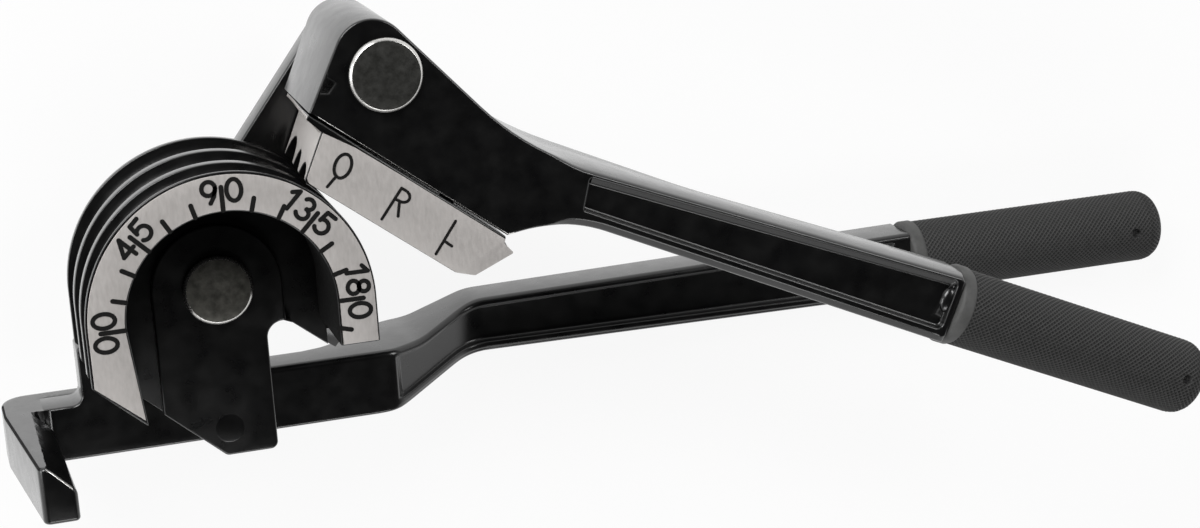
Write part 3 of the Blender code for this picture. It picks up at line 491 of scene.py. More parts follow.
# Bright turned steel with fine marks round it, on the pins' chamfers; the same bright metal is put on the hook's
# ramp edge and the head's lower front edge as a painted highlight.
def turnedEdgeAndHighlight():
    material, tree, shader = newMaterial("bright edge and painted highlight")
    marks = noiseNode(tree, 3000, 3)
    colour = rampNode(tree, marks.outputs["Fac"], [(0.3, (0.62, 0.61, 0.59)), (0.7, (0.80, 0.79, 0.77))])
    tree.links.new(colour.outputs["Color"], shader.inputs["Base Color"])
    shader.inputs["Metallic"].default_value = 1.0
    gloss = rangeNode(tree, marks.outputs["Fac"], 0.2, 0.3)
    tree.links.new(gloss.outputs["Result"], shader.inputs["Roughness"])
    return material


# Dark blued spring steel.
def springSteel():
    material, tree, shader = newMaterial("dark spring steel")
    cloud = noiseNode(tree, 900, 3)
    colour = rampNode(tree, cloud.outputs["Fac"], [(0.3, (0.05, 0.05, 0.055)), (0.7, (0.11, 0.11, 0.12))])
    tree.links.new(colour.outputs["Color"], shader.inputs["Base Color"])
    shader.inputs["Metallic"].default_value = 0.9
    gloss = rangeNode(tree, cloud.outputs["Fac"], 0.3, 0.42)
    tree.links.new(gloss.outputs["Result"], shader.inputs["Roughness"])
    return material


# Dark vinyl coloured by its relief: the ridges are paler, a painted highlight, and the hollows between them black,
# painted shade; faint clouds of dust vary the tone.
def gripRubber():
    material, tree, shader = newMaterial("grip rubber")
    relief = tree.nodes.new("ShaderNodeAttribute")
    relief.attribute_name = "relief"
    # The relief ramp paints shade into the hollows and the dimple, and a highlight onto the ridges and the collar.
    colour = rampNode(tree, relief.outputs["Fac"], [(0.0, grey(0.0025)), (0.45, grey(0.012)),
                                                    (1.0, (0.088, 0.088, 0.086))])
    dust = noiseNode(tree, 420, 5, 0.7)
    cloud = rangeNode(tree, dust.outputs["Fac"], 0.55, 1.0)
    mix = tree.nodes.new("ShaderNodeMix")
    mix.data_type = "RGBA"
    mix.blend_type = "MULTIPLY"
    mix.inputs["Factor"].default_value = 1.0
    tree.links.new(colour.outputs["Color"], mix.inputs["A"])
    tree.links.new(cloud.outputs["Result"], mix.inputs["B"])
    tree.links.new(mix.outputs["Result"], shader.inputs["Base Color"])
    gloss = rangeNode(tree, dust.outputs["Fac"], 0.5, 0.68)
    tree.links.new(gloss.outputs["Result"], shader.inputs["Roughness"])
    pores = noiseNode(tree, 4200, 3, 0.6)
    bumpFrom(tree, pores.outputs["Fac"], shader, 0.00004, 0.4)
    return material


# Black stamped-in paint, a little uneven.
def scaleInk():
    material, tree, shader = newMaterial("scale ink")
    patch = noiseNode(tree, 2500, 3)
    colour = rampNode(tree, patch.outputs["Fac"], [(0.3, (0.002, 0.002, 0.002)), (0.75, (0.008, 0.0075, 0.007))])
    tree.links.new(colour.outputs["Color"], shader.inputs["Base Color"])
    gloss = rangeNode(tree, patch.outputs["Fac"], 0.65, 0.85)
    tree.links.new(gloss.outputs["Result"], shader.inputs["Roughness"])
    shader.inputs["Specular IOR Level"].default_value = 0.2
    return material


paint = blackPaint()
matt = mattPaint()
silver = satinAluminium()
steel = platedSteel("plated steel", (0.030, 0.030, 0.027), (0.056, 0.056, 0.052))
# The centre pin's head gets a lighter copy of the plated steel, with stronger cloudy patches.
centreFace = platedSteel("worn plated steel", (0.055, 0.054, 0.047), (0.115, 0.112, 0.098))
brightEdge = turnedEdgeAndHighlight()
spring = springSteel()
rubber = gripRubber()
ink = scaleInk()

# Forming wheel
wheel = {
    "radius": 24.0, "bendRadius": 23.8, "ringInner": 17.35, "front": -0.65, "back": -31.62,
    "web": -20.0, "boss": -18.2, "bossRadius": 11.2, "lip": 0.22, "ringRim": 0.3, "steps": 120,
    "grooves": ((3.275, -4.675), (4.07, -14.22), (4.865, -25.355)),
    "flankTop": -9.4, "lugLeft": -1.2, "lugRight": 7.8, "lugBottom": -29.9, "lugCorner": 1.3,
    "notchTop": -4.4, "notchRadius": 2.8, "sector": (19.9, -14.3), "ringEnd": -8.0, "toeX": -15.6, "endRim": 0.3,
}
flankSlope = (wheel["lugBottom"] - wheel["flankTop"]) / (wheel["lugLeft"] + wheel["radius"])


# Height of the slanted flank under the wheel's left side.
def flankHeight(x):
    return wheel["flankTop"] + flankSlope * (x + wheel["radius"])


# Height of the sector's lower edge, right of the lug.
def notchHeight(x):
    sx, sy = wheel["sector"]
    inner = sy + (sx - x) * (wheel["notchTop"] - sy) / (sx - wheel["lugRight"])
    outer = sy + (x - sx) * (wheel["ringEnd"] - sy) / (wheel["radius"] - sx)
    return np.where(x < sx, inner, outer)


# The rim's section as (radius, height): down its outer side through each groove that lies on it.
def grooveSide(top, bottom, inner):
    corners = [(inner, top, wheel["ringRim"]), (wheel["radius"], top, wheel["lip"])]
    for radius, z in wheel["grooves"]:
        if not bottom < z < top:
            continue
        edge = math.degrees(math.acos((wheel["radius"] - wheel["bendRadius"]) / radius))
        hollow = arcPoints(wheel["bendRadius"], z, radius, edge, 360 - edge, 34)
        corners.append((*hollow[0], wheel["lip"]))
        corners += [(x, y, 0) for x, y in hollow[1:-1]]
        corners.append((*hollow[-1], wheel["lip"]))
    corners += [(wheel["radius"], bottom, wheel["lip"]), (inner, bottom, wheel["lip"])]
    return roundedCorners(corners, step=22)


# The section carried along the U: up the right leg, round the half circle, down to the slanted flank. At
# both ends it is drawn in on a small quarter circle, and closed.
def rimShell(top, bottom, inner, rightEnd, lean):
    section = turnedLeft(grooveSide(top, bottom, inner))
    small = wheel["endRim"]
    rows = []

    def row(drawn, where, share):
        loop = drawnIn(section, drawn)
        r, z = loop[:, 0], loop[:, 1]
        if where == "right":
            full = rightEnd(r)
            return np.column_stack([r, full * share, z])
        leftX = -(r - lean * (wheel["radius"] - r) / (wheel["radius"] - wheel["ringInner"]))
        leftY = flankHeight(leftX)
        return np.column_stack([-r + share * (leftX + r), share * leftY, z])

    def ended(where, i, turns=3):
        a = math.pi / 2 * i / turns
        made = row(small * (1 - math.sin(a)), where, 1.0)
        made[:, 1] += small * (1 - math.cos(a))
        return made

    rows += [ended("right", i) for i in range(4)]
    rows += [row(0, "right", share) for share in (0.6, 0.3)]
    r, z = section[:, 0], section[:, 1]
    for angle in np.radians(np.linspace(0, 180, wheel["steps"] + 1)):
        rows.append(np.column_stack([r * math.cos(angle), r * math.sin(angle), z]))
    rows += [row(0, "left", share) for share in (0.25, 0.5, 0.75)]
    rows += [ended("left", i) for i in (3, 2, 1, 0)]
    inside = (section[:, 0] < inner + 0.05) & (np.roll(section, -1, axis=0)[:, 0] < inner + 0.05)
    shells = [(np.stack(rows), gridFaces(len(rows), len(section)), np.tile(inside, len(rows) - 1))]
    for end in (rows[0], rows[-1]):
        flat, faces = filled(drawnIn(section, small))
        order = np.linalg.norm(flat[:, None] - drawnIn(section, small)[None], axis=2).argmin(axis=1)
        shells.append((end[order], faces))
    return shells


def buildWheel():
    print("forming wheel")
    w = wheel
    edge = w["ringInner"]
    shells = rimShell(w["front"], w["web"] - 0.6, edge, lambda r: np.full(len(r), w["ringEnd"]), 1.75)
    shells += rimShell(w["web"] - 0.02, w["back"], 14.5, lambda r: notchHeight(r), 0.0)
    half = arcPoints(0, 0, 18.4, 0, 180, 61)
    web = np.concatenate([half, [(-18.4, flankHeight(-18.4) + 0.05), (-7.0, flankHeight(-7.0) + 0.05),
                                 (-7.0, -6.0), (9.5, -6.0), (9.6, float(notchHeight(9.6)) + 0.04),
                                 (18.4, float(notchHeight(18.4)) + 0.04)]])
    shells += slabShell(web, w["back"] + 0.06, w["web"], 0.2, turns=2)
    drop = -6.92
    column = roundedCorners([(-w["bossRadius"], 0, 0), (-w["bossRadius"], flankHeight(-w["bossRadius"]), 0),
                             (w["lugLeft"], w["lugBottom"], w["lugCorner"]),
                             (w["lugRight"], w["lugBottom"], w["lugCorner"]),
                             (w["lugRight"], w["notchTop"], w["notchRadius"]),
                             (w["bossRadius"], drop, 0), (w["bossRadius"], 0, 0)])
    column = np.concatenate([column, arcPoints(0, 0, w["bossRadius"], 0, 180, 61)[1:-1]])
    shells += slabShell(column, w["back"], w["boss"], 0.35, lowRim=0.3)
    return makePiece("wheel_body", shells, inWheel, [paint, matt], "lower_tool", ["forming_wheel"])


buildWheel()

# Scale plate with its ticks and figures
scale = {
    "outer": 23.62, "inner": 17.7, "thick": 0.4, "tick": 0.8, "start": 17.75, "short": 19.85, "long": 21.65,
    "figureLow": 19.15, "figureHigh": 22.75, "stroke": 0.74, "lift": 0.02, "figureWidth": 2.4,
    "figures": {0: "00", 45: "45", 90: "90", 135: "135", 180: "180"},
}


def buildScalePlate():
    print("scale plate")
    s = scale
    toe = wheel["toeX"] - 0.4
    outline = np.concatenate([
        arcPoints(0, 0, s["outer"], 0, 180, 121),
        [(-s["outer"], flankHeight(-s["outer"]) + 0.55), (toe, flankHeight(toe) + 0.9)],
        arcPoints(0, 0, s["inner"], 180, 0, 101),
        [(s["inner"], wheel["ringEnd"] + 0.4), (s["outer"], wheel["ringEnd"] + 0.4)],
    ])
    shells = slabShell(outline, -s["thick"], -0.02, 0.1, turns=2)
    return makePiece("scale_face", shells, inWheel, [silver], "lower_tool", ["scale_plate"])


# Each figure is drawn in a box one high and one wide, as lines of points
glyphs = {
    "0": [arcPoints(0.5, 0.5, 0.5, 90, 450, 28, 0.5)],
    "1": [np.array([(0.12, 0.74), (0.55, 1.0), (0.55, 0.0)])],
    "3": [np.concatenate([arcPoints(0.47, 0.755, 0.40, 150, -78, 14, 0.245),
                          arcPoints(0.47, 0.27, 0.47, 78, -150, 16, 0.27)])],
    "4": [np.array([(0.72, 0.0), (0.72, 1.0), (0.0, 0.3), (1.0, 0.3)])],
    "5": [np.concatenate([[(0.9, 1.0), (0.2, 1.0), (0.1, 0.52)], arcPoints(0.45, 0.33, 0.5, 125, -145, 18, 0.33)])],
    "8": [arcPoints(0.5, 0.76, 0.38, 90, 450, 22, 0.24), arcPoints(0.5, 0.27, 0.47, 90, 450, 24, 0.27)],
    "9": [arcPoints(0.48, 0.68, 0.46, 0, 360, 24, 0.32), np.array([(0.94, 0.68), (0.82, 0.3), (0.55, 0.0)])],
}


# A line of points made a flat ribbon with round ends: each point gives one to its left and one to its
# right.
def strokeShell(line, width, low, high):
    line = np.asarray(line, float)
    along = np.gradient(line, axis=0)
    along /= np.maximum(np.linalg.norm(along, axis=1, keepdims=True), 1e-9)
    side = np.stack([-along[:, 1], along[:, 0]], axis=1) * width / 2
    if np.linalg.norm(line[0] - line[-1]) < 1e-6:
        loops = [line[:-1] + side[:-1], line[:-1] - side[:-1]]
        rows = [np.column_stack([loops[0], np.full(len(loops[0]), z)]) for z in (low, high)]
        rows += [np.column_stack([loops[1], np.full(len(loops[1]), z)]) for z in (high, low)]
        stack = np.stack(rows + [rows[0]])
        return [(stack, gridFaces(5, len(loops[0])))]
    heading = math.degrees(math.atan2(along[-1, 1], along[-1, 0]))
    cap = arcPoints(*line[-1], width / 2, heading + 70, heading - 70, 6)
    heading = math.degrees(math.atan2(along[0, 1], along[0, 0])) + 180
    tail = arcPoints(*line[0], width / 2, heading + 70, heading - 70, 6)
    outline = np.concatenate([line + side, cap, (line - side)[::-1], tail])
    return slabShell(outline, low, high, 0.01, turns=1)


# The same line with extra points, so that a corner keeps its width.
def bend(line, length=0.35):
    line = np.asarray(line, float)
    made = [line[:1]]
    for here, there in zip(line[:-1], line[1:]):
        count = max(1, math.ceil(float(np.linalg.norm(there - here)) / length))
        made.append(here + (there - here) * (np.arange(1, count + 1) / count)[:, None])
    return np.concatenate(made)


# A line with sharp corners as one ribbon for each of its straight runs.
def straightStrokes(line, width, low, high):
    turnAt = [0]
    steps = np.diff(line, axis=0)
    steps = steps / np.linalg.norm(steps, axis=1, keepdims=True)
    for i in range(1, len(steps)):
        if float(steps[i - 1] @ steps[i]) < 0.7:
            turnAt.append(i)
    turnAt.append(len(line) - 1)
    shells = []
    for k, (first, last) in enumerate(zip(turnAt[:-1], turnAt[1:])):
        shells += strokeShell(line[first:last + 1], width, low, high + 0.002 * k)
    return shells


# Figures side by side about a middle point; across and up are the directions of the baseline and the
# height.
def figureStrokes(text, middle, across, up, width, height, stroke, low, high, gap):
    shells = []
    advance = width + gap
    start = -advance * (len(text) - 1) / 2 - width / 2
    for number, letter in enumerate(text):
        for line in glyphs[letter]:
            x = start + number * advance + line[:, :1] * width
            y = (line[:, 1:] - 0.5) * height
            shells += straightStrokes(np.asarray(middle) + x * across + y * up, stroke, low, high)
    return shells


def buildScaleMarks():
    print("scale marks")
    s = scale
    low, high = -0.05, s["lift"]
    shells = []
    for degrees in range(0, 196, 15):
        a = math.radians(180 - degrees)
        way = np.array([math.cos(a), math.sin(a)])
        end = s["long"] if degrees % 45 == 0 else s["short"]
        shells += strokeShell(bend([way * s["start"], way * end]), s["tick"], low, high)
    for degrees, text in s["figures"].items():
        a = math.radians(180 - degrees)
        way = np.array([math.cos(a), math.sin(a)])
        across = np.array([way[1], -way[0]])
        middle = way * (s["figureLow"] + s["figureHigh"]) / 2
        height = s["figureHigh"] - s["figureLow"]
        parts = {"00": ("0", "0"), "45": ("4", "5"), "90": ("9", "0"), "135": ("13", "5"), "180": ("18", "0")}[text]
        for side, word in zip((-1, 1), parts):
            wide = len(word) * s["figureWidth"] + (len(word) - 1) * 0.25
            offset = side * (0.82 + wide / 2)
            shells += figureStrokes(word, middle + across * offset, across, way, s["figureWidth"], height,
                                    s["stroke"], low, high + 0.006, 0.25)
    return makePiece("scale_marks", shells, inWheel, [ink], "lower_tool")


buildScalePlate()
buildScaleMarks()

# Lower handle
bar = {
    "front": -31.87, "back": -39.77, "bottom": -31.1, "top": -19.4, "leftTop": -21.2, "edge": 0.55,
    "hookBack": -43.17, "hookRight": -21.0, "hookOuterRoot": -37.4, "hookOuterTip": -34.1,
    "hookInnerRoot": -29.2, "hookInnerTip": -28.2, "rampTop": -32.7, "rampDrop": -25.9, "hookEdge": 0.7,
    "shoulderLeft": -23.75, "shoulderRight": 6.5, "shoulderTop": -10.8, "join": 3.0, "end": 138.75,
    "rightFront": -43.1, "rightBack": -52.9, "rightMiddle": -20.5, "halfStart": 5.1, "halfEnd": 6.2,
    "pocket": 1.3, "lip": 1.5, "topEdge": 1.1, "flange": 1.85, "pocketStart": 32.4, "pocketEnd": 135.75,
    "backPocketStart": 44.0,
    "crease": 0.95, "bevel": 0.3,
}


def rightEdge(x, side):
    share = (x - 50.5) / (bar["end"] - 50.5)
    return bar["rightMiddle"] + side * (bar["halfStart"] + share * (bar["halfEnd"] - bar["halfStart"]))


# Height at x on a line through rounded corners.
def alongLine(corners, x):
    line = roundedCorners(corners, step=2.5, closed=False)
    return np.interp(x, line[:, 0], line[:, 1])


# The bar's section, a rounded box with a pocket in front and behind, carried along X: its top, underside,
# front and back are each a line through rounded corners.
def barShell():
    b = bar
    x = np.unique(np.concatenate([np.linspace(b["join"], 20, 6), np.linspace(20, 56, 100),
                                  np.linspace(56, b["end"], 44),
                                  b["pocketStart"] + np.linspace(-0.2, 1.6, 14),
                                  b["pocketEnd"] - np.linspace(-0.3, 1.6, 14),
                                  b["backPocketStart"] + np.linspace(0, 1.4, 8),
                                  b["end"] - np.array([0.5, 0.3, 0.12])]))
    top = alongLine([(-60, b["top"], 0), (38.5, b["top"], 13), (50.5, rightEdge(50.5, 1), 13),
                     (160, rightEdge(160, 1), 0)], x)
    under = alongLine([(-60, b["bottom"], 0), (32.3, b["bottom"], 24), (48.6, rightEdge(48.6, -1), 24),
                       (160, rightEdge(160, -1), 0)], x)
    front = alongLine([(-60, b["front"], 0), (32.4, b["front"], 5), (49, b["rightFront"], 11),
                       (160, b["rightFront"], 0)], x)
    back = alongLine([(-60, b["back"], 0), (20, b["back"], 11), (34.5, b["rightBack"], 11),
                      (160, b["rightBack"], 0)], x)
    depth = b["pocket"] * soft((x - b["pocketStart"]) / 1.3) * soft((b["pocketEnd"] - x) / 1.3)
    behind = b["pocket"] * soft((x - b["backPocketStart"]) / 1.3) * soft((b["pocketEnd"] - x) / 1.3)
    bevel = b["bevel"] * soft((x - b["pocketStart"] + 2.0) / 6.0)
    e, curl = b["edge"], b["topEdge"]
    quarter = np.radians(np.linspace(0, 90, 8))
    flange = under + b["flange"]
    lip = top - b["lip"]
    curve = np.array([(-0.30, 0.0), (-0.16, 0.035), (-0.05, 0.13), (0.0, 0.26), (0.1, 0.62), (0.22, 0.86),
                      (0.42, 0.98), (0.65, 1.0)])
    ys, zs = [], []

    def pocketSide(level, dip, side, face, sign, backwards):
        for across, down in (curve[::-1] if backwards else curve):
            ys.append(level + side * across)
            zs.append(face - sign * dip * down)

    # Underside front corner, the flange with its crease, pocket, lip and top corner; then the same behind
    for a in quarter[::-1]:
        ys.append(under + e * (1 - np.sin(a)))
        zs.append(front - bevel - e * (1 - np.cos(a)))
    ys += [under + b["crease"] - 0.12, under + b["crease"], under + b["crease"] + 0.12]
    zs += [front - bevel * 0.12, front - bevel * 0.02, front]
    pocketSide(flange, depth, 1, front, 1, False)
    pocketSide(lip, depth, -1, front, 1, True)
    for a in quarter:
        ys.append(top - curl * (1 - np.sin(a)))
        zs.append(front - curl * (1 - np.cos(a)))
    for a in quarter[::-1]:
        ys.append(top - e * (1 - np.sin(a)))
        zs.append(back + e * (1 - np.cos(a)))
    pocketSide(lip, behind, -1, back, -1, False)
    pocketSide(flange, behind, 1, back, -1, True)
    for a in quarter:
        ys.append(under + e * (1 - np.sin(a)))
        zs.append(back + e * (1 - np.cos(a)))
    y, z = np.stack(ys, axis=1), np.stack(zs, axis=1)
    return x, y, z


def buildLowerHandle():
    print("lower handle")
    b = bar
    x, y, z = barShell()
    points = np.stack([np.repeat(x[:, None], y.shape[1], axis=1), y, z], axis=-1)
    shells = [(points, gridFaces(len(x), y.shape[1]))]
    for end in (points[0], points[-1]):
        loop = end[:, 1:]
        flat, faces = filled(loop)
        order = np.linalg.norm(flat[:, None] - loop[None], axis=2).argmin(axis=1)
        shells.append((end[order], faces))
    strip = roundedCorners([(-30.5, b["bottom"], 0), (b["join"] + 2, b["bottom"], 0),
                            (b["join"] + 2, b["top"] - 0.4, 0),
                            (b["shoulderRight"], b["top"] - 0.4, 0), (b["shoulderRight"], b["shoulderTop"], 0.8),
                            (b["shoulderLeft"], b["shoulderTop"], 0.8),
                            (b["shoulderLeft"], b["leftTop"] - 0.015, 1.8),
                            (-31.0, b["leftTop"] - 0.015, 0)])
    shells += slabShell(strip, b["back"] + 0.01, b["front"] - 0.01, b["edge"], step=2.0)

    # The hook in plan, carried up from the bar's underside to a top that slants down to the tube
    plan = roundedCorners([(b["hookOuterTip"], 0, 1.3), (b["hookOuterRoot"], b["front"], 9.0),
                           (b["hookOuterRoot"], b["hookBack"], 4.5), (b["hookRight"], b["hookBack"], 0.8),
                           (b["hookRight"], b["back"] + 0.8, 0.3), (-30.0, b["back"] + 0.8, 0),
                           (-30.0, b["front"] - 0.6, 0),
                           (b["hookInnerRoot"], b["front"] - 0.6, 0), (b["hookInnerRoot"], b["front"], 0),
                           (b["hookInnerTip"], 0, 0.8)], step=12)
    plan = spaced(plan, 1.0)

    def hookTop(px, pz):
        fall = (px - b["rampTop"]) * (b["rampDrop"] - b["leftTop"]) / (b["hookInnerTip"] - b["rampTop"])
        lean = np.where(px > b["rampTop"], fall, 0) * soft((pz - b["front"] - 0.1) / 0.5)
        return b["leftTop"] + lean

    # The rim at the ramp's front edge takes the bright metal as a painted highlight, and is matt along the outer
    # side.
    def hookMarks(outline, rows):
        side = facing(outline)
        x = outline[:, 0]
        bright = (side[:, 1] > 0.9) & (x > b["rampTop"] + 0.4) & (x < b["hookInnerTip"] - 0.7)
        dull = (side[:, 0] < -0.6) & (outline[:, 1] > b["front"] - 6)
        kind = np.where(bright, 1, np.where(dull, 2, 0))
        return np.stack([kind if i in (1, 2) else kind * 0 for i in range(rows)])

    zs = np.arange(b["front"] - 1, 0, 0.9)
    fold = np.concatenate([np.stack([np.full(len(zs), b["rampTop"]), zs], axis=1),
                           np.stack([np.linspace(-37, -29.3, 9), np.full(9, b["front"] + 0.1)], axis=1),
                           np.stack([np.linspace(-37, -29.3, 9), np.full(9, b["front"] + 0.6)], axis=1)])
    hook = slabShell(plan, b["bottom"] + 0.005, hookTop, b["hookEdge"], step=1.1, extra=fold, bare=hookMarks)
    shells += [(points.reshape(-1, 3)[:, [0, 2, 1]], faces, *marks) for points, faces, *marks in hook]
    return makePiece("lower_bar", shells, inWheel, [paint, brightEdge, matt], "lower_tool",
                     ["lower_handle"])


buildLowerHandle()

# Upper handle and shoe
head = {
    "front": -1.2, "headBack": -28.77, "barBack": -13.2, "pocket": 1.3, "lip": 1.65, "flange": 2.35,
    "pocketLeft": (39.9, 42.1),
    "gripX": 112.9, "gripY": 19.1, "endHalf": 6.6, "bottom": -11.95, "lean": 0.7,
    # Rims from the side up to the front as rows of inset and drop: plain edge, crowned top, chamfered underside
    "plain": ((0, 0.55), (0.03, 0.36), (0.07, 0.24), (0.13, 0.14), (0.2, 0.07), (0.28, 0.03), (0.37, 0.01),
              (0.48, 0)),
    "crown": ((0, 4.2), (0.25, 2.4), (0.5, 1.1), (0.6, 0.7), (0.72, 0.4), (0.88, 0.17), (1.03, 0.05), (1.2, 0)),
    "chamfer": ((0, 1.0), (0.12, 0.75), (0.3, 0.6), (0.95, 0.2), (1.08, 0.11), (1.2, 0.05), (1.34, 0.015),
                (1.48, 0)),
    "boss": (-1.8, 1.15, 1.5, 2.45, 1.05),
}
shoe = {
    "face": -21.8, "top": -12.21, "front": -0.65, "back": -30.9, "edge": 0.25, "topEdge": 0.35, "grooveAxis": -22.8,
    "thick": 0.4, "margin": 0.12, "topMargin": 0.4, "lean": 2.4, "leanMore": 0.7,
    "left": [(-1.95, -21.8, 1.3), (-4.0, -13.5, 0.12), (-7.25, -13.1, 0.12), (-7.3, -12.2, 0)],
    "right": [(28.6, -21.8, 0.8), (31.7, -20.5, 0.8), (35.35, -13.75, 0.3), (33.1, -13.4, 0.1), (32.7, -12.2, 0)],
}


def gripPoint(along, across):
    c, s = math.cos(gripTilt), math.sin(gripTilt)
    return head["gripX"] + along * c - across * s, head["gripY"] + along * s + across * c


# The three rims blended by the way the side faces: the crown and the chamfer only run along the bar.
def upperRim(outline):
    side = facing(outline)
    crown = soft((side[:, 1:] - 0.35) / 0.3) * soft((outline[:, :1] - 31) / 8)
    chamfer = soft((-side[:, 1:] - 0.35) / 0.3) * soft((outline[:, :1] - 38) / 3.5)
    rows = []
    for plain, top, under in zip(head["plain"], head["crown"], head["chamfer"]):
        inset, drop = (plain[k] + crown * (top[k] - plain[k]) + chamfer * (under[k] - plain[k]) for k in (0, 1))
        rows.append((inset, drop[:, 0]))
    return rows


# A painted highlight runs along the head's lower front edge: a line of faces given the bright metal.
def upperMarks(outline, rows):
    side = facing(outline)
    brightened = (side[:, 1] < -0.9) & (outline[:, 0] < 33.5)
    return np.stack([brightened if i in (2, 3, 4) else brightened & False for i in range(rows)]).astype(int)


def buildUpperHandle():
    print("upper handle")
    h = head
    lowEnd, topEnd = gripPoint(-0.25, -h["endHalf"]), gripPoint(-0.25, h["endHalf"])
    outline = roundedCorners([(-7.2, h["bottom"], 0), (33, h["bottom"], 0), (40.1, -4.35, 26), (*lowEnd, 0),
                              (*topEnd, 0),
                              (27.7, 2.05, 47), (-11.4, 9.1, 6.3)], step=3)
    outline = spaced(outline, 1.6)
    topSlope = (topEnd[1] - 2.05) / (topEnd[0] - 27.7)
    lowSlope = (lowEnd[1] + 4.35) / (lowEnd[0] - 40.1)
    upperX, lowerX = h["pocketLeft"]
    upperY = 2.05 + topSlope * (upperX - 27.7) - h["lip"] * math.hypot(1, topSlope)
    lowerY = -4.35 + lowSlope * (lowerX - 40.1) + h["flange"] * math.hypot(1, lowSlope)
    pocketLine = spaced(roundedCorners([(lowerX, lowerY, 0.5), (*gripPoint(-1.5, -h["endHalf"] + h["flange"]), 1.2),
                                        (*gripPoint(-1.5, h["endHalf"] - h["lip"]), 1.2), (upperX, upperY, 0.5)],
                                        step=12), 2.0)

    def pocketLean(edge):
        return 0.1 + 0.75 * soft((facing(edge)[:, 1:] - 0.5) / 0.4)

    def backFace(x, y):
        return alongLine([(-60, h["headBack"], 0), (34, h["headBack"], 16), (60, h["barBack"], 16),
                          (200, h["barBack"], 0)], x)

    pocket = {"outline": pocketLine, "lip": 0.35, "depth": h["pocket"], "fillet": 0.45, "lean": pocketLean}
    shells = slabShell(outline, backFace, h["front"], upperRim, lowRim=0.9, pockets=[pocket], step=2.5, turns=5,
                       bare=upperMarks)

    # The boss at the pocket's end is half an ellipsoid: points at equal angles round it and up it
    along, across, wide, tall, rise = h["boss"]
    up, turn = np.meshgrid(np.radians(np.linspace(-25, 90, 16)), np.radians(np.arange(48) * 7.5), indexing="ij")
    dome = np.stack([along + wide * np.cos(up) * np.cos(turn), across + tall * np.cos(up) * np.sin(turn)], axis=-1)
    x, y = gripPoint(dome[..., 0], dome[..., 1])
    points = np.stack([x, y, h["front"] - h["pocket"] + rise * np.sin(up)], axis=-1)
    shells.append((points, gridFaces(*up.shape)))
    base = points[0].mean(axis=0)
    shells.append((np.stack([points[0], np.tile(base, (48, 1))]), gridFaces(2, 48)))

    # Towards its back the head's left end is drawn in, more so near the shoe.
    def leaned(points):
        p = np.array(points, float)
        depth = np.clip((h["front"] - p[:, 2]) / (h["front"] - h["headBack"]), 0, 1)
        low = soft((4.0 - p[:, 1]) / 16.0)
        p[:, 0] += h["lean"] * soft(depth) * low * np.clip((6.0 - p[:, 0]) / 13.0, 0, 1)
        return inHandle(p)

    return makePiece("upper_bar", shells, leaned, [paint, brightEdge], "forming_handle",
                     ["upper_handle"])


def buildShoe():
    print("forming shoe")
    s = shoe
    corners = [(s["top"], s["front"], s["topEdge"]), (s["top"], s["back"], 0.25), (s["face"], s["back"], 0.25)]
    for radius, z in wheel["grooves"][::-1]:
        sink = s["face"] - s["grooveAxis"]
        edge = math.degrees(math.asin(sink / radius))
        hollow = arcPoints(s["grooveAxis"], z, radius, -90 + edge, 90 - edge, 34)
        corners.append((*hollow[0], 0.2))
        corners += [(y, zz, 0) for y, zz in hollow[1:-1]]
        corners.append((*hollow[-1], 0.2))
    corners += [(s["face"], s["front"], 0.15)]
    section = spaced(turnedLeft(roundedCorners(corners, step=22)), 0.5)

    def endAt(line, y):
        run = roundedCorners([(b, a, r) for a, b, r in line], step=8, closed=False)
        return np.interp(y, run[:, 0], run[:, 1])

    # The section stands at both ends of the block, drawn in on a small quarter circle, and each end is filled
    rows = []
    for side, line, sign in (("left", s["left"], 1), ("right", s["right"], -1)):
        part = []
        for i in range(4):
            a = math.pi / 2 * i / 3
            loop = drawnIn(section, s["edge"] * (1 - math.sin(a)))
            x = endAt(line, loop[:, 0]) + sign * s["edge"] * (1 - math.cos(a))
            part.append(np.column_stack([x, loop]))
        rows += part if side == "left" else part[::-1]
    shells = [(np.stack(rows), gridFaces(len(rows), len(section)))]
    # The left end takes the silver finish, giving it the same light grey that the black head's side beside it shows
    # in reflection; the right end keeps the paint.
    for end, line, mark in ((rows[0], s["left"], 1), (rows[-1], s["right"], 0)):
        loop = end[:, 1:]
        zs = np.arange(s["back"] + 1, s["front"] - 0.3, 1.5)
        folds = np.concatenate([np.stack([np.full(len(zs), y), zs], axis=1) for y in np.arange(-21.5, -12.3, 0.45)])
        flat, faces = filled(loop, extra=folds)
        x = endAt(line, flat[:, 0])
        near = np.linalg.norm(flat[:, None] - loop[None], axis=2)
        x = np.where(near.min(axis=1) < 1e-5, end[near.argmin(axis=1), 0], x)
        shells.append((np.column_stack([x, flat]), faces, np.full(len(faces), mark)))

    # Towards its back the shoe's left end is drawn in, a little more near the tube.
    def leaned(points):
        p = np.array(points, float)
        depth = np.clip((s["front"] - p[:, 2]) / (s["front"] - s["back"]), 0, 1)
        amount = s["lean"] + s["leanMore"] * (s["top"] - p[:, 1]) / (s["top"] - s["face"])
        p[:, 0] += amount * soft(depth) * np.clip((8.0 - p[:, 0]) / 13.0, 0, 1)
        return inHandle(p)

    makePiece("shoe_body", shells, leaned, [paint, silver], "forming_handle", ["forming_shoe"],
              sharp=28)

    # The silver face keeps a margin inside the block; its top edge drops a little towards the left end
    m = s["margin"]
    top = s["top"] - s["topMargin"]
    low = s["face"] + m
    plate = roundedCorners([(-1.95 + m, low, 1.2), (-3.95 + m, -13.45, 0.1), (2.2, top - 0.12, 3.0), (12.0, top, 0),
                            (32.6 - m, top, 0.1), (33.0 - m, -13.3, 0.1), (35.3 - m, -13.8, 0.25),
                            (31.65 - m, -20.45, 0.7),
                            (28.6 - m, low, 0.7)], step=14)
    makePiece("shoe_face", slabShell(plate, -s["thick"], -0.02, 0.06, turns=2), inHandle, [silver],
              "forming_handle",
              ["shoe_plate"])


